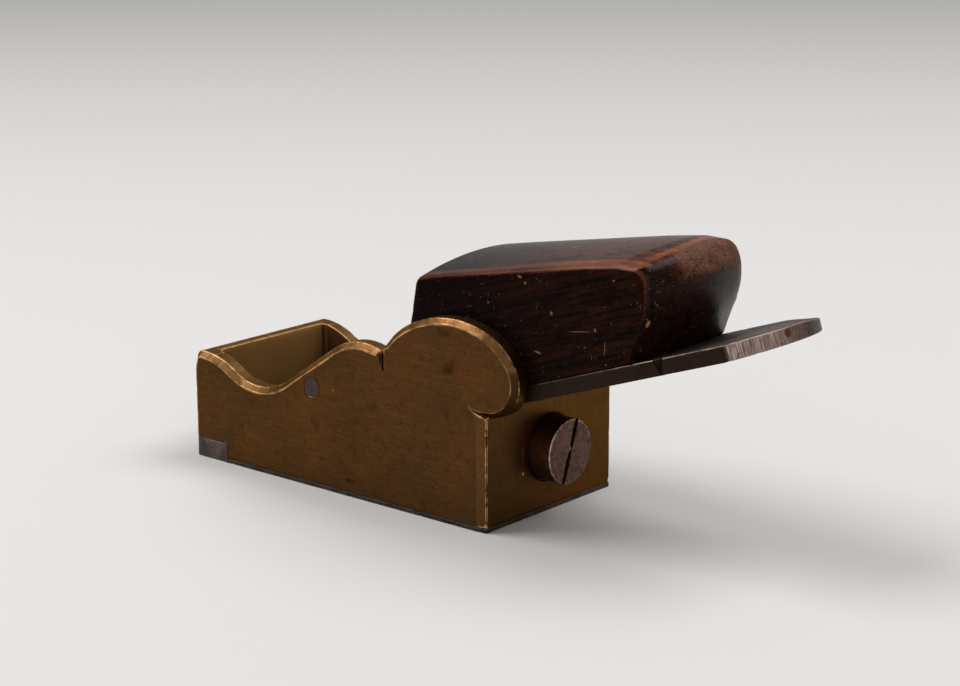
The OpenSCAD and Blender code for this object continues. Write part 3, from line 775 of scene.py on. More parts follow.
def makeWedge(material):
    # side outline carried across; each slope's rise is its run * tan(angle)
    tip, front = pinAlong - wedge["nose"], pinAlong + wedge["restStart"]
    rear = front + wedge["restLength"]
    high, drop = wedge["restHeight"], wedge["shoulderLength"]
    frontLean = math.tan(math.radians(wedge["frontLean"]))
    restTop = front + (high - tongueTop(front)) * frontLean
    shoulderHigh = high - (rear - drop - restTop) * math.tan(math.radians(wedge["topFall"]))
    leanHigh = shoulderHigh - (drop - wedge["rearLean"]) * math.tan(math.radians(wedge["shoulderFall"]))
    corners = [
        [tip, 0], [rear - wedge["tuckLength"], 0], [rear - wedge["tuckMiddle"], wedge["rearHeight"] / 2],
        [rear, wedge["rearHeight"]], [rear - wedge["rearLean"], leanHigh],
        [rear - drop, shoulderHigh], [restTop, high], [front, tongueTop(front)],
        [tip + wedge["noseBevel"], tongueTop(tip + wedge["noseBevel"])], [tip, wedge["noseThickness"]]]
    outline = roundedOutline(corners, wedge["cornerRadii"])
    behind = smooth((outline[:, 0] - restTop) / (rear - restTop - drop))
    onTop = smooth((outline[:, 1] - 6) / 8) * smooth((outline[:, 0] - front - 2) / 3)
    topRadius = wedge["frontRound"] + (wedge["rearRound"] - wedge["frontRound"]) * behind
    radius = wedge["arris"] + (topRadius - wedge["arris"]) * onTop
    half = wedge["width"] / 2
    parts = platePart(outline, 0, wedge["width"], radius, radius, 28, 0.55)

    def shaped(along, off, across):
        # top: twist * t - crown * t^2 over half-widths t from the middle, kept in the front face's plane
        # there; rear: in by bulge * t^2
        side = 1 - across / half
        back = smooth((along - restTop) / (rear - restTop))
        crown = wedge["crown"] + (wedge["rearCrown"] - wedge["crown"]) * back
        twist = wedge["twist"] + (wedge["rearTwist"] - wedge["twist"]) * back
        sunk = (twist * side - crown * side ** 2) * smooth((off - 10) / 11) * smooth((along - front) / 8)
        behind = along - front - (off - tongueTop(front)) * frontLean
        off = off + sunk
        along = along + sunk * frontLean * (1 - smooth(behind / 7))
        bulge = wedge["rearBulge"] * (1 + 0.4 * smooth(1 - off / 12))
        along = along - bulge * side ** 2 * smooth((along - rear + 20) / 20)
        return bedPlaced(along, side * half, off + wedgeFloor)

    parts = placedParts(parts, shaped)
    piece = makePiece("rosewoodWedge", parts, "wedge", "wedge", material)
    dented(piece, scatteredMarks(piece, count=70, seed=11, radii=(0.6, 1.8), depths=(0.02, 0.1), lowest=32))


# The striking screw

screw = dict(
    headRadius=6.5, headOut=5.0, shankRadius=3.2, shankLength=12.0, shankBevel=0.3, slotWidth=1.1,
    slotDepth=1.8, slotTilt=19.0, rimBevel=0.28, slotArris=0.1, hammeredAt=0.5, hammeredLength=0.8,
    station=0.3)


def makeScrew(material):
    # head as two lids beside the slot, the rim's wall, the slot's floor and the shank
    radius, shankRadius, spacing = screw["headRadius"], screw["shankRadius"], screw["station"]
    face, halfSlot = soleLength + screw["headOut"], screw["slotWidth"] / 2
    floor = face - screw["slotDepth"]
    seat = soleLength - casting["seatDepth"]
    back, tip = seat + slideGap, seat - screw["shankLength"]
    chord = math.degrees(math.asin(halfSlot / radius))

    def rimArc(start, end):
        # run along the head's rim
        return arcRun([0, 0], radius, start, end, spacing)

    lidRuns = [rimArc(chord, 180 - chord), rimArc(180 + chord, 360 - chord)]
    endRuns = [rimArc(180 - chord, 180 + chord), rimArc(-chord, chord)]
    rim = closedPath(lidRuns[0], endRuns[0], lidRuns[1], endRuns[1])
    parts = []
    for run in lidRuns:
        loop = closedPath(run, lineRun(run[-1], run[0], spacing))
        onRim = smooth((np.abs(loop[:, 1]) - halfSlot) / 0.8)
        lidRadius = screw["slotArris"] + (screw["rimBevel"] - screw["slotArris"]) * onRim
        lid = platePart(loop, floor, face, 0.0, lidRadius, 5, 0.35)
        parts += [lid[0], lid[2]]
    wall = [columns(rim, x) for x in np.linspace(back, floor, 12)]
    parts.append(gridPart(np.array(wall), np.linspace(3, 1, 12)[:, None], closed=True))
    slotLoop = closedPath(endRuns[0], lineRun(endRuns[0][-1], endRuns[1][0], spacing), endRuns[1],
                          lineRun(endRuns[1][-1], endRuns[0][0], spacing))
    parts.append(fillPart([slotLoop], lambda p: columns(p, floor), 0.4))
    shank = [(back, radius), (back, shankRadius), (tip + screw["shankBevel"], shankRadius),
             (tip, shankRadius - screw["shankBevel"]), (tip, 0)]
    parts.append(gridPart(np.array([columns(rim / radius * r, x) for x, r in shank]), 5, closed=True))
    tilt = math.radians(screw["slotTilt"])

    def placed(first, second, x):
        # the slot lies along the first axis, turned from upright by its tilt; hammered metal closes it
        # in one place, where the edges move to the middle
        near = np.clip(1 - ((first - screw["hammeredAt"]) / screw["hammeredLength"]) ** 2, 0, 1) ** 2
        near = near * smooth((x - floor - 0.7) / 0.9) * smooth((1.1 - np.abs(second)) / 0.5)
        second = second - np.sign(second) * near * np.minimum(np.abs(second), halfSlot) * 0.9
        return columns(x, first * math.sin(tilt) + second * math.cos(tilt),
                       casting["screwHeight"] + first * math.cos(tilt) - second * math.sin(tilt))

    parts = placedParts(parts, placed)
    piece = makePiece("strikingScrew", parts, "screw", "striking_screw", material)
    dented(piece, scatteredMarks(piece, count=24, seed=8, radii=(0.4, 1.0), depths=(0.02, 0.09)))


# Materials: small helpers that each add a node or two to the material being drawn and give back an output

drawing = {}


def plug(value, socket):
    # an output is linked to the socket, and a number or a colour is set on it
    if isinstance(value, bpy.types.NodeSocket):
        drawing["tree"].links.new(value, socket)
    else:
        socket.default_value = (*value, 1.0) if socket.type == "RGBA" else value


def addNode(kind, inputs=(), **settings):
    # one node, with its settings made and its inputs linked or set
    node = drawing["tree"].nodes.new("ShaderNode" + kind)
    for name, value in settings.items():
        setattr(node, name, value)
    for key, value in dict(inputs).items():
        plug(value, node.inputs[key])
    return node


def reckon(operation, first, *others):
    # one operation after the other: (first op second) op third
    for value in others:
        first = addNode("Math", {0: first, 1: value}, operation=operation).outputs[0]
    return first


def plus(first, second):
    # first + second
    return reckon("ADD", first, second)


def minus(first, second):
    # first - second
    return reckon("SUBTRACT", first, second)


def sizeOf(value):
    # value without its sign
    return addNode("Math", {0: value}, operation="ABSOLUTE").outputs[0]


def product(*values):
    # all the values multiplied
    return reckon("MULTIPLY", *values)


def largest(*values):
    # the largest of the values
    return reckon("MAXIMUM", *values)


def spread(value, low, high, toLow=0.0, toHigh=1.0):
    # smooth step from low to high
    inputs = {0: value, 1: low, 2: high, 3: toLow, 4: toHigh}
    return addNode("MapRange", inputs, interpolation_type="SMOOTHSTEP").outputs[0]


def band(value, middle, half, soft):
    # 1 within half of the middle and 0 beyond it, over a soft edge
    return spread(sizeOf(minus(value, middle)), half + soft, half)


def noise(place, scale, detail=4.0, rough=0.55, distortion=0.0):
    # cloudy pattern from 0 to 1, about scale clouds to the millimetre
    inputs = {"Vector": place, "Scale": scale, "Detail": detail, "Roughness": rough}
    return addNode("TexNoise", {**inputs, "Distortion": distortion}).outputs[0]


def aligned(place, size, turn=(0, 0, 0), start=(0, 0, 0)):
    # place measured from a start along turned axes, in units of size
    inputs = {"Vector": place, "Location": start, "Rotation": turn, "Scale": size}
    return addNode("Mapping", inputs, vector_type="TEXTURE").outputs[0]


def streaks(place, size, turn=(0, 0, 0), detail=4.0):
    # noise drawn out along turned axes
    return noise(aligned(place, size, turn), 1.0, detail, 0.65)


def vectorSum(operation, *vectors):
    # number worked out from one or two vectors, such as a length
    return addNode("VectorMath", dict(enumerate(vectors)), operation=operation).outputs["Value"]


def dab(place, centre, size, turn=(0, 0, 0)):
    # a small mark: 1 in the middle of an ellipsoid and 0 outside it
    return spread(vectorSum("LENGTH", aligned(place, size, turn, centre)), 1.0, 0.45)


def dabs(place, marks):
    # several marks together
    return largest(*[dab(place, *mark) for mark in marks])


def ragged(value, texture, amount):
    # value shifted up and down by a texture: value + (texture - 0.5) * amount
    return plus(value, product(minus(texture, 0.5), amount))


def mixed(share, first, second):
    # number between two others: first + share * (second - first)
    return addNode("Mix", {0: share, 2: first, 3: second}, data_type="FLOAT").outputs[0]


def blend(share, first, second):
    # colour between two others: first + share * (second - first)
    return addNode("Mix", {0: share, 6: first, 7: second}, data_type="RGBA").outputs[2]


def scaled(colour, times):
    # colour made darker or lighter
    return tuple(times * value for value in colour)


def startMaterial(name):
    # a shader, the place on the object in millimetres, the way it faces and its distance from a worn edge
    material = bpy.data.materials.new(name)
    material.use_nodes = True
    drawing["tree"] = material.node_tree
    drawing["tree"].nodes.clear()
    shader = addNode("BsdfPrincipled")
    addNode("OutputMaterial", {"Surface": shader.outputs[0]})
    coordinates = addNode("TexCoord").outputs
    place = addNode("Mapping", {"Vector": coordinates["Object"], "Scale": (1 / mm,) * 3}).outputs[0]
    edge = addNode("Attribute", attribute_name="edgeMm").outputs["Fac"]
    return material, shader, place, coordinates["Normal"], edge


def splitUp(vector):
    # x, y and z of a vector
    return addNode("SeparateXYZ", {0: vector}).outputs


def facingShare(facing, way, low, high):
    # how squarely a surface faces a direction, as a smooth step of the cosine
    return spread(vectorSum("DOT_PRODUCT", facing, way), low, high)


def finish(shader, colour, rough, metal, height, bump):
    # the shader's inputs; a bump's depth is in millimetres
    bumped = addNode("Bump", {"Height": height, "Strength": 1.0, "Distance": bump * mm}).outputs[0]
    values = {"Base Color": colour, "Roughness": rough, "Metallic": metal, "Normal": bumped}
    for name, value in values.items():
        plug(value, shader.inputs[name])


def bedPlaceOf(place):
    # the place in the bed's frame: along the bed, across and square to it
    return aligned(place, (1, 1, 1), (0, -bedSlope, 0), (mouthX - soleLength / 2, 0, 0))


bedUp = (-bedSin, 0, bedCos)

gunmetal = dict(
    gold=(0.1, 0.041, 0.0135), olive=(0.07, 0.037, 0.0145), deep=(0.024, 0.0115, 0.0048),
    pale=(0.21, 0.1, 0.033), bevel=(0.17, 0.085, 0.032), worn=(0.72, 0.4, 0.18),
    inside=(0.33, 0.17, 0.052), top=(0.22, 0.125, 0.05), glancing=(1.0, 0.72, 0.45),
    roughness=0.43, metallic=1.0, bump=0.015,
    # marks as (centre, size), and painted highlights with one worn nick as (centre, size, strength)
    seatDarkening=((40, 0.3, 12), (1, 9.6, 10)),
    marks=[((30.75, -19.3, 30.8), (1.9, 1, 1.6)), ((29.6, -19.3, 37.8), (2.1, 1, 1.2)),
           ((40, -18.7, 18.9), (1, 0.45, 0.6)), ((4.6, -19.3, 3.4), (1.6, 1, 0.9))],
    highlightsAndNick=[((40, -8.3, 9.3), (1, 0.4, 0.5), 1), ((40, -8.4, 13.7), (1, 0.14, 2.2), 0.5),
            ((39.9, -19.2, 1.2), (0.6, 0.6, 0.7), 1), ((0.4, -19.4, 21.3), (0.35, 1, 0.3), 0.3)])


def gunmetalMaterial():
    # patina in layers: each blend lays a colour over the last one by a mask from 0 to 1
    material, shader, place, facing, edge = startMaterial("agedGunmetal")
    x, y, z = splitUp(place)
    upright = sizeOf(splitUp(facing)[1])
    onSide = spread(upright, 0.85, 0.95)
    onHeel = facingShare(facing, (1, 0, 0), 0.6, 0.85)
    upward = facingShare(facing, (0, 0, 1), 0.15, 0.75)
    cloud = noise(place, 0.06, 4, 0.55, 0.6)
    fleck = noise(place, 0.55, 6, 0.62)
    fine = noise(place, 2.6, 4, 0.7)
    # olive patina towards the toe, the heel and the scroll's edge, and golden brown in between
    olive = plus(cloud, spread(x, -27, -38, 0, 0.1))
    olive = plus(olive, product(onHeel, spread(z, 3, 12), 0.1))
    olive = plus(olive, spread(edge, 5, 0.6, 0, 0.12))
    colour = blend(spread(olive, 0.38, 0.82), gunmetal["gold"], gunmetal["olive"])
    colour = blend(spread(fleck, 0.5, 0.8, 0, 0.6), colour, gunmetal["deep"])
    colour = blend(spread(fine, 0.48, 0.75, 0, 0.34), colour, gunmetal["pale"])
    along = streaks(place, (4, 0.4, 0.14))
    down = streaks(place, (0.16, 0.3, 6))
    brushed = mixed(onHeel, along, down)
    strength = spread(onHeel, 0, 1, 0.3, 0.12)
    colour = blend(product(spread(brushed, 0.5, 0.76), strength), colour, gunmetal["pale"])
    colour = blend(product(spread(brushed, 0.5, 0.26), strength), colour, gunmetal["deep"])
    scratched = largest(spread(streaks(place, (5, 0.5, 0.14), (0, 0.3, 0), 1), 0.7, 0.78),
                        spread(streaks(place, (0.16, 0.5, 6), (0, 0.35, 0), 1), 0.71, 0.79),
                        spread(noise(place, 1.5, 2, 0.5), 0.73, 0.79))
    colour = blend(product(scratched, 0.35), colour, gunmetal["pale"])
    # painted light in the throat: paler inside, and a painted highlight on the toe wall's inner face
    innerY, wallX = sideY - casting["cheek"], casting["toeWall"] - soleLength / 2
    within = product(spread(sizeOf(y), innerY + 0.3, innerY - 0.2), spread(x, 9, 2),
                     spread(x, wallX - 1.1, wallX - 0.5))
    lit = product(within, spread(z, 1, 17), facingShare(facing, (1, 0, 0), 0.1, 0.8))
    colour = blend(product(within, 0.6), colour, gunmetal["pale"])
    colour = blend(lit, colour, gunmetal["inside"])
    # shallow relief at the heel edge: rubbed paler and a painted highlight; edges facing up or back lighter
    reliefX = soleLength / 2 - casting["reliefWidth"]
    rubbedLitRelief = product(spread(x, reliefX - 0.3, reliefX + 0.3), onSide, spread(z, 23, 21))
    colour = blend(product(rubbedLitRelief, 0.3), colour, gunmetal["pale"])
    rim = product(spread(upright, 0.6, 0.3), spread(z, 16, 19), spread(onHeel, 0.9, 0.1))
    colour = blend(product(rim, spread(fleck, 0.35, 0.65, 0.75, 0.35)), colour, gunmetal["top"])
    # bevel: painted shade facing down and in the dip; painted highlight and rubbed wear where it faces up
    wide = product(spread(upright, 0.9, 0.8), spread(upright, 0.4, 0.55), spread(z, 8, 11))
    inDip = band(x, -19, 3, 6)
    litRubbedBevel = product(wide, spread(fleck, 0.35, 0.62, 1, 0.2), plus(upward, 0.08),
                          spread(inDip, 0, 1, 1, 0.45))
    shaded = largest(spread(upward, 0.45, 0, 0, 0.8), product(inDip, 0.4))
    colour = blend(product(wide, shaded), colour, gunmetal["deep"])
    colour = blend(litRubbedBevel, colour, gunmetal["bevel"])
    # painted shade in the slit and under the lobe
    slitX = soleLength / 2 - casting["slitBack"] - casting["slitWidth"] / 2
    slitZ = casting["crestHeight"] - casting["slitDepth"] + 1.6
    slit = product(band(x, slitX, 0.9, 0.4), band(z, slitZ, 2.2, 0.6))
    slitWall = product(slit, spread(onSide, 0.6, 0.2))
    shadeUnderLobe = product(facingShare(facing, (0, 0, -1), 0.1, 0.5), spread(x, 28, 32), band(z, 23.5, 3, 1))
    # a darker halo round the screw's seat on the heel face
    seat = product(dab(place, *gunmetal["seatDarkening"]), onHeel, 0.45)
    colour = blend(largest(product(slitWall, 0.85), product(shadeUnderLobe, 0.8), seat), colour, gunmetal["deep"])
    marks = dabs(place, gunmetal["marks"])
    colour = blend(product(marks, spread(fleck, 0.35, 0.6, 0.1, 0.75)), colour, gunmetal["deep"])
    # arrises worn bright: a thin uneven line, broader on the scroll's upper side
    reach = spread(noise(place, 0.17, 3, 0.5), 0.36, 0.64, 0.08, 0.26)
    reach = product(reach, spread(x, 38.6, 39.2, 1, 0.3))
    worn = spread(ragged(edge, fleck, 0.3), reach, 0.01)
    rubbed = largest(spread(z, 3.5, 7), spread(x, 37.6, 38.6))
    rubbed = product(rubbed, spread(largest(slit, shadeUnderLobe), 0.2, 0.8, 1, 0.1),
                     spread(x, -39.6, -38.4, 0.45, 1))
    inner = product(spread(x, 23, 29), spread(z, 20, 23), spread(upright, 0.74, 0.8))
    worn = product(worn, rubbed, spread(noise(place, 0.35, 4, 0.6), 0.34, 0.6, 0.25, 0.95),
                   spread(inner, 0, 1, 1, 0.35))
    colour = blend(worn, colour, gunmetal["worn"])
    # painted highlights, and one worn nick at the heel's near foot, in the worn colour
    highlightsAndNick = largest(*[product(dab(place, *form), share) for *form, share in gunmetal["highlightsAndNick"]])
    colour = blend(product(highlightsAndNick, 0.8), colour, gunmetal["worn"])
    rough = plus(spread(brushed, 0.3, 0.7, 0.04, -0.04), gunmetal["roughness"])
    rough = plus(rough, spread(cloud, 0.35, 0.65, -0.03, 0.05))
    metal = minus(gunmetal["metallic"], product(within, 0.4))
    height = ragged(product(brushed, 0.5), fleck, 0.5)
    finish(shader, colour, rough, metal, height, gunmetal["bump"])
    plug(gunmetal["glancing"], shader.inputs["Specular Tint"])
    return material


steelFinish = dict(
    toe=dict(dark=(0.075, 0.056, 0.05), light=(0.145, 0.114, 0.102), roughness=0.5, brightEdge=0.3),
    plate=dict(dark=(0.034, 0.027, 0.025), light=(0.08, 0.065, 0.058), roughness=0.54, brightEdge=0.3),
    pin=dict(dark=(0.068, 0.045, 0.038), light=(0.095, 0.067, 0.058), roughness=0.52, brightEdge=0.0))


def steelMaterial(name, dark, light, roughness, brightEdge, bump=0.03):
    # blotched steel: dark to light by a noise, then specks, brushing and arrises
    material, shader, place, _, edge = startMaterial(name)
    blotch = noise(place, 0.3, 5, 0.62, 0.4)
    mottle = noise(place, 1.5, 6, 0.65)
    colour = blend(spread(blotch, 0.35, 0.65), dark, light)
    colour = blend(spread(mottle, 0.5, 0.72, 0.0, 0.75), colour, scaled(dark, 0.3))
    brushed = streaks(place, (9, 0.25, 0.2))
    colour = blend(spread(brushed, 0.5, 0.8, 0, 0.4), colour, scaled(light, 1.7))
    worn = spread(ragged(edge, mottle, 0.5), 0.2, 0.02)
    colour = blend(product(worn, brightEdge), colour, scaled(light, 3))
    rough = spread(mottle, 0.3, 0.7, roughness - 0.06, roughness + 0.08)
    finish(shader, colour, rough, 1.0, ragged(mottle, brushed, 0.4), bump)
    return material


ironSteel = dict(
    side=(0.028, 0.017, 0.012), top=(0.055, 0.039, 0.032), dull=(0.018, 0.012, 0.009),
    wearAndSheen=(0.2, 0.15, 0.13), ground=(0.62, 0.47, 0.42), groundDark=(0.17, 0.11, 0.088),
    rust=(0.13, 0.04, 0.02), brown=(0.11, 0.053, 0.034), tip=(0.05, 0.025, 0.015), arris=(0.4, 0.27, 0.21),
    rustSpot=((131.9, -2.4, 2.0), (2.0, 1.2, 1.1)), bump=0.05)


def ironMaterial():
    # dark steel in layers, measured along the bed: sides, top, handled rear and filed end
    material, shader, place, facing, edge = startMaterial("ironSteel")
    bedPlace = bedPlaceOf(place)
    along, across, off = splitUp(bedPlace)
    flat = facingShare(facing, bedUp, 0.6, 0.85)
    blotch = noise(place, 0.22, 5, 0.62, 0.5)
    mottle = noise(place, 1.3, 6, 0.65)
    brushed = streaks(bedPlace, (14, 0.3, 0.2))
    colour = blend(flat, ironSteel["side"], ironSteel["top"])
    colour = blend(spread(blotch, 0.42, 0.68, 0, 0.7), colour, ironSteel["dull"])
    colour = blend(spread(mottle, 0.52, 0.74, 0, 0.6), colour, ironSteel["dull"])
    colour = blend(spread(brushed, 0.52, 0.78, 0, 0.35), colour, ironSteel["top"])
    # painted sheen on the top's rear, streaked by brushing; tail's end filed across and rusting at the far
    # side
    wearAndSheen = product(flat, spread(ragged(along, mottle, 8), 116, 124), spread(brushed, 0.35, 0.7, 0.2, 1))
    colour = blend(wearAndSheen, colour, ironSteel["wearAndSheen"])
    tailAt = iron["length"] - iron["tailRise"]
    onEnd = product(spread(along, tailAt + 0.1, tailAt + 0.7), facingShare(facing, bedUp, 0.75, 0.5),
                    facingShare(facing, bedUp, -0.75, -0.5))
    filed = streaks(bedPlace, (0.14, 0.14, 4), (0, 0, 0), 5)
    ground = blend(spread(filed, 0.4, 0.62), ironSteel["groundDark"], ironSteel["ground"])
    ground = blend(spread(ragged(across, mottle, 9), -6, 1, 0, 0.8), ground, ironSteel["brown"])
    ground = blend(spread(ragged(across, mottle, 5), 2, 5, 0, 0.9), ground, ironSteel["tip"])
    ground = blend(dab(bedPlace, *ironSteel["rustSpot"]), ground, ironSteel["rust"])
    ground = blend(spread(noise(place, 0.8, 4, 0.6), 0.56, 0.68, 0, 0.6), ground, ironSteel["brown"])
    colour = blend(onEnd, colour, ground)
    # the nick's two sides are dark lines that meet at the lower edge
    fromNick = sizeOf(minus(along, iron["notchAt"]))
    nickSide = minus(fromNick, product(off, iron["notchWidth"] * 0.5 / ironTop))
    nick = product(largest(band(nickSide, 0, 0.07, 0.12), spread(nickSide, 0.1, -0.3, 0, 0.5)),
                   spread(across, 1.2 - iron["width"] / 2, 0.7 - iron["width"] / 2))
    worn = spread(ragged(edge, mottle, 0.25), 0.26, 0.02)
    worn = product(worn, spread(off, 1.6, 2.6), spread(blotch, 0.3, 0.6, 0.35, 0.95),
                   spread(nick, 0.6, 0.1), spread(along, 92, 108, 0.15, 1))
    colour = blend(worn, colour, ironSteel["arris"])
    colour = blend(product(nick, 0.85), colour, scaled(ironSteel["dull"], 0.3))
    rough = plus(spread(mottle, 0.3, 0.7, 0.42, 0.56), product(onEnd, -0.06))
    height = mixed(onEnd, mottle, filed)
    finish(shader, colour, rough, 1.0, height, ironSteel["bump"])
    return material


rosewood = dict(
    black=(0.004, 0.0018, 0.0014), brown=(0.0095, 0.0034, 0.0022), red=(0.075, 0.017, 0.0065),
    tan=(0.36, 0.18, 0.09), band=(0.075, 0.022, 0.011), corner=(0.15, 0.05, 0.024),
    endGrain=(0.2, 0.09, 0.052), orange=(0.24, 0.06, 0.015),
    roughness=0.25, bump=0.06, polishedCorner=((111.5, -12.5, wedgeFloor + 15.5), (4, 4, 4)),
    # nicks of the near side and of the rear, as (centre, size) or (centre, size, turn)
    nicks=[((86.3, -15.3, wedgeFloor + 20.0), (0.7, 1, 0.3), (0, 0.5, 0)),
           ((91.5, -15.3, wedgeFloor + 12.1), (0.35, 1, 0.5)),
           ((100.5, -15.3, wedgeFloor + 7.3), (0.3, 1, 0.45)),
           ((86.0, -15.3, wedgeFloor + 5.7), (1.0, 1, 0.25), (0, 0.5, 0)),
           ((96.8, -15.3, wedgeFloor + 7.7), (3.2, 1, 0.1), (0, 0.18, 0)),
           ((101.6, -15.3, wedgeFloor + 3.8), (0.12, 1, 1.7), (0, 0.4, 0)),
           ((112.6, -4.1, wedgeFloor + 9.9), (2, 0.5, 0.45)),
           ((112.6, 0.9, wedgeFloor + 8.2), (2, 0.45, 0.3)),
           ((112.6, -4.2, wedgeFloor + 7.4), (2, 2.6, 0.13), (0.1, 0, 0)),
           ((112.0, -13.9, wedgeFloor + 6.2), (2, 0.5, 0.8)),
           ((112.0, -11.9, wedgeFloor + 3.5), (2, 1.7, 0.2), (0.2, 0, 0))])


def rosewoodMaterial():
    # polished wood in layers, measured along the bed: grain, rubbed arrises, end grain, nicks
    material, shader, place, facing, edge = startMaterial("polishedRosewood")
    bedPlace = bedPlaceOf(place)
    along, across, off = splitUp(bedPlace)
    off = minus(off, wedgeFloor)
    halfWidth = wedge["width"] / 2
    flat = plus(along, product(across, across, wedge["rearBulge"] / halfWidth ** 2))
    crest = pinAlong + wedge["restStart"] + wedge["restLength"] - wedge["shoulderLength"]
    onTop = facingShare(facing, bedUp, 0.5, 0.8)
    sideways = sizeOf(splitUp(facing)[1])
    mottle = noise(place, 0.7, 5, 0.62)
    grain = noise(aligned(bedPlace, (14, 1.2, 1.0)), 1.0, 6, 0.6, 0.8)
    fine = streaks(bedPlace, (3.5, 0.16, 0.16))
    colour = blend(spread(grain, 0.45, 0.68), rosewood["black"], rosewood["brown"])
    colour = blend(spread(fine, 0.5, 0.75, 0.0, 0.4), colour, rosewood["black"])
    # red-brown towards the rear, on top most of all
    notSide = spread(sideways, 0.75, 0.4)
    behind = product(spread(along, 98, 106), spread(off, 8, 16), notSide, spread(across, -12, -6))
    redness = product(largest(onTop, behind, 0.16), spread(along, 66, 104))
    colour = blend(product(redness, spread(ragged(grain, mottle, 0.5), 0.36, 0.6)), colour, rosewood["red"])
    # broad worn band along the top arrises, and one that fades down the rear arrises
    width = largest(spread(onTop, 0.2, 0.8, 0, 2.2), spread(off, 5, 18, 0.12, 0.5))
    near = spread(ragged(edge, mottle, 1.1), width, product(width, 0.4))
    rounded = spread(sideways, 0.99, 0.9)
    strength = spread(noise(place, 0.16, 3, 0.5), 0.3, 0.6, 0.5, 1)
    wearAndSheen = blend(spread(along, 82, 104), rosewood["band"], rosewood["corner"])
    wearAndSheen = blend(spread(onTop, 0.25, 0), wearAndSheen, rosewood["red"])
    colour = blend(product(near, rounded, spread(off, 3, 16), strength), colour, wearAndSheen)
    # behind the top: a line rubbed to orange, and end grain laid bare below it
    rubbedAt = plus(flat, product(across, 0.09))
    line = product(band(ragged(rubbedAt, mottle, 3), crest + 3.0, 0.2, 1.2), spread(off, 11, 14),
                   spread(grain, 0.3, 0.6, 0.35, 1), notSide, spread(across, -14, -9))
    patch = product(spread(ragged(flat, mottle, 2.5), crest + 3.4, crest + 4.6), notSide,
                    spread(ragged(off, mottle, 2.6), 11.8, 13.4),
                    spread(ragged(across, mottle, 4), -8.5, -5.5))
    patch = product(patch, spread(noise(place, 0.45, 3, 0.6), 0.3, 0.55, 0.45, 1))
    pores = noise(place, 4.5, 3, 0.7)
    endGrain = blend(spread(pores, 0.42, 0.62), rosewood["endGrain"], rosewood["brown"])
    colour = blend(product(patch, 0.85), colour, endGrain)
    colour = blend(product(line, 0.75), colour, rosewood["orange"])
    # nicks, chance ones and those of the rear and the near side
    chips = spread(noise(bedPlace, 0.95, 3, 0.65), 0.68, 0.73)
    lines = largest(spread(streaks(bedPlace, (3.2, 3, 0.16), (0, 0.12, 0), 1), 0.73, 0.79),
                    spread(streaks(bedPlace, (0.16, 3, 2.6), (0, 0.25, 0), 1), 0.74, 0.8),
                    spread(streaks(bedPlace, (3, 2.4, 0.16), (0.1, 0, 0), 1), 0.74, 0.8))
    chance = product(largest(chips, lines), spread(noise(place, 0.12, 2, 0.5), 0.4, 0.6, 0.1, 0.7))
    given = dabs(bedPlace, rosewood["nicks"])
    colour = blend(chance, colour, rosewood["tan"])
    colour = blend(product(given, spread(along, 104, 108, 0.5, 0.8)), colour, rosewood["tan"])
    rough = spread(fine, 0.3, 0.7, rosewood["roughness"] - 0.05, rosewood["roughness"] + 0.07)
    rough = plus(rough, product(largest(patch, chance), 0.3))
    # near rear corner, where the hand polishes it most
    polished = dab(bedPlace, *rosewood["polishedCorner"])
    rough = plus(rough, product(polished, -0.11))
    height = plus(product(fine, 0.3), product(mottle, 0.7))
    height = minus(height, product(largest(given, chance), 1.2))
    height = plus(height, product(patch, pores))
    finish(shader, colour, rough, 0.0, height, rosewood["bump"])
    # the sides and the far half of the rear are hardly polished and reflect less than the top
    dull = largest(spread(sideways, 0.7, 0.95), facingShare(facing, (0, 1, 0), 0.05, 0.35))
    plug(spread(dull, 0, 1, 0.08, 0.02), shader.inputs["Specular IOR Level"])
    return material


screwSteel = dict(
    face=(0.115, 0.056, 0.04), side=(0.13, 0.06, 0.034), deep=(0.036, 0.017, 0.011), rim=(0.5, 0.38, 0.33),
    hammeredAt=(-0.15, 13.35), hammeredSize=(0.8, 0.5, 0.9), bump=0.05)


def screwMaterial():
    # mottled steel: side to face by how it faces, then specks and the rubbed rim
    material, shader, place, facing, edge = startMaterial("screwSteel")
    x, y, z = splitUp(place)
    mottle = noise(place, 1.1, 6, 0.65, 0.4)
    fine = noise(place, 3.2, 4, 0.6)
    faceX = soleLength / 2 + screw["headOut"]
    onFace = product(facingShare(facing, (1, 0, 0), 0.3, 0.8), spread(x, faceX - 1.1, faceX - 0.5))
    # the head's side colour is a painted reflection of the brass heel
    colour = blend(onFace, screwSteel["side"], screwSteel["face"])
    colour = blend(spread(mottle, 0.45, 0.66, 0, 0.75), colour, screwSteel["deep"])
    colour = blend(product(onFace, spread(fine, 0.5, 0.75, 0, 0.35)), colour, screwSteel["rim"])
    # rim rubbed bright plus a painted highlight at the upper left, and hammered metal across the slot
    upper = spread(minus(z, y), 6, 17, 0.25, 1)
    fromAxis = vectorSum("LENGTH", aligned(place, (1e6, 1, 1), (0, 0, 0), (0, 0, casting["screwHeight"])))
    rim = product(spread(ragged(edge, mottle, 0.3), 0.15, 0.01), upper,
                  spread(x, faceX - 0.8, faceX - 0.3),
                  spread(fromAxis, screw["headRadius"] - 0.7, screw["headRadius"] - 0.4))
    hammered = dab(place, (faceX, *screwSteel["hammeredAt"]), screwSteel["hammeredSize"])
    colour = blend(largest(rim, product(hammered, fine, 0.6)), colour, screwSteel["rim"])
    rough = spread(mottle, 0.3, 0.7, 0.4, 0.54)
    finish(shader, colour, rough, 1.0, ragged(mottle, fine, 0.6), screwSteel["bump"])
    return material


# Camera, floor and light

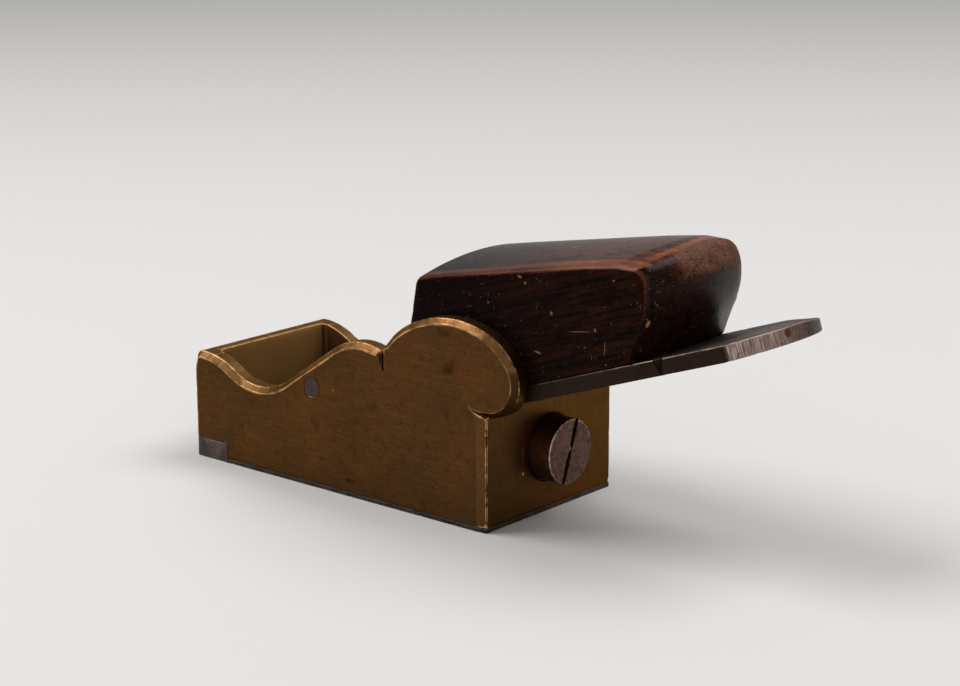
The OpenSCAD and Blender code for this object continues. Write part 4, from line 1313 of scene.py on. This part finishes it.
view = dict(azimuth=40.40, elevation=14.28, roll=-0.15, distance=438.2, target=(22.17, 0.0, 30.69),
            imageWidth=960, focalPixels=2221, sensorWidth=36.0)
studio = dict(
    floorColour=(0.6, 0.59, 0.58), floorRoughness=0.75, skyColour=(1.0, 0.985, 0.97), skyStrength=0.38,
    # disk lamps as (name, size in metres, power in watts, place)
    lamps=[("softKey", 0.7, 8.0, (-0.55, -0.35, 0.9)), ("softTop", 0.8, 7.0, (0.35, 0.45, 0.95)),
           ("softFront", 0.9, 2.5, (0.9, -0.8, 0.5))])


def makeCamera():
    # place = target + distance * (sin a cos e, -cos a cos e, sin e)
    azimuth, elevation, roll = [math.radians(view[key]) for key in ("azimuth", "elevation", "roll")]
    back = Vector((math.sin(azimuth) * math.cos(elevation), -math.cos(azimuth) * math.cos(elevation),
                   math.sin(elevation)))
    data = bpy.data.cameras.new("photoView")
    data.sensor_width = view["sensorWidth"]
    data.lens = view["sensorWidth"] * view["focalPixels"] / view["imageWidth"]
    data.clip_start = 0.01
    data.clip_end = 20
    camera = bpy.data.objects.new("photoView", data)
    turn = Euler((math.pi / 2 - elevation, 0, azimuth)).to_matrix() @ Euler((0, 0, roll)).to_matrix()
    place = (Vector(view["target"]) + back * view["distance"]) * mm
    camera.matrix_world = Matrix.Translation(place) @ turn.to_4x4()
    bpy.context.scene.collection.objects.link(camera)
    bpy.context.scene.camera = camera


def makeFloor():
    # round floor that runs out into the pale backdrop
    mesh = bpy.data.meshes.new("floor")
    ways = headingOf(np.linspace(0, 360, 97)[:-1])
    rings = [columns(ways * radius, 0) for radius in (0.1, 0.3, 0.8, 2.0, 5.0)]
    points, quads, _ = gridPart(np.array(rings), 0, closed=True)
    mesh.from_pydata(points.tolist(), [], quads.tolist() + [list(range(len(ways)))])
    floor = bpy.data.objects.new("floor", mesh)
    bpy.context.scene.collection.objects.link(floor)
    material = bpy.data.materials.new("paleFloor")
    material.use_nodes = True
    shader = material.node_tree.nodes["Principled BSDF"]
    plug(studio["floorColour"], shader.inputs["Base Color"])
    plug(studio["floorRoughness"], shader.inputs["Roughness"])
    mesh.materials.append(material)


def makeLights():
    # pale sky, and soft disk lamps turned to the plane
    world = bpy.data.worlds.new("studio")
    bpy.context.scene.world = world
    world.use_nodes = True
    sky = world.node_tree.nodes["Background"]
    plug(studio["skyColour"], sky.inputs["Color"])
    plug(studio["skyStrength"], sky.inputs["Strength"])
    for name, size, power, place in studio["lamps"]:
        data = bpy.data.lights.new(name, "AREA")
        data.shape = "DISK"
        data.size = size
        data.energy = power
        lamp = bpy.data.objects.new(name, data)
        lamp.location = place
        lamp.rotation_euler = (Vector((0, 0, 0.02)) - Vector(place)).to_track_quat("-Z", "Y").to_euler()
        bpy.context.scene.collection.objects.link(lamp)


makeCamera()
makeFloor()
makeLights()
bpy.context.scene.view_settings.view_transform = "Standard"
print("set up the camera, floor and light")

makeCasting(gunmetalMaterial())
makeToeBlock(steelMaterial("toeSteel", **steelFinish["toe"]))
makeSolePlate(steelMaterial("plateSteel", **steelFinish["plate"]))
makePin(steelMaterial("pinSteel", **steelFinish["pin"]))
makeIron(ironMaterial())
makeWedge(rosewoodMaterial())
makeScrew(screwMaterial())
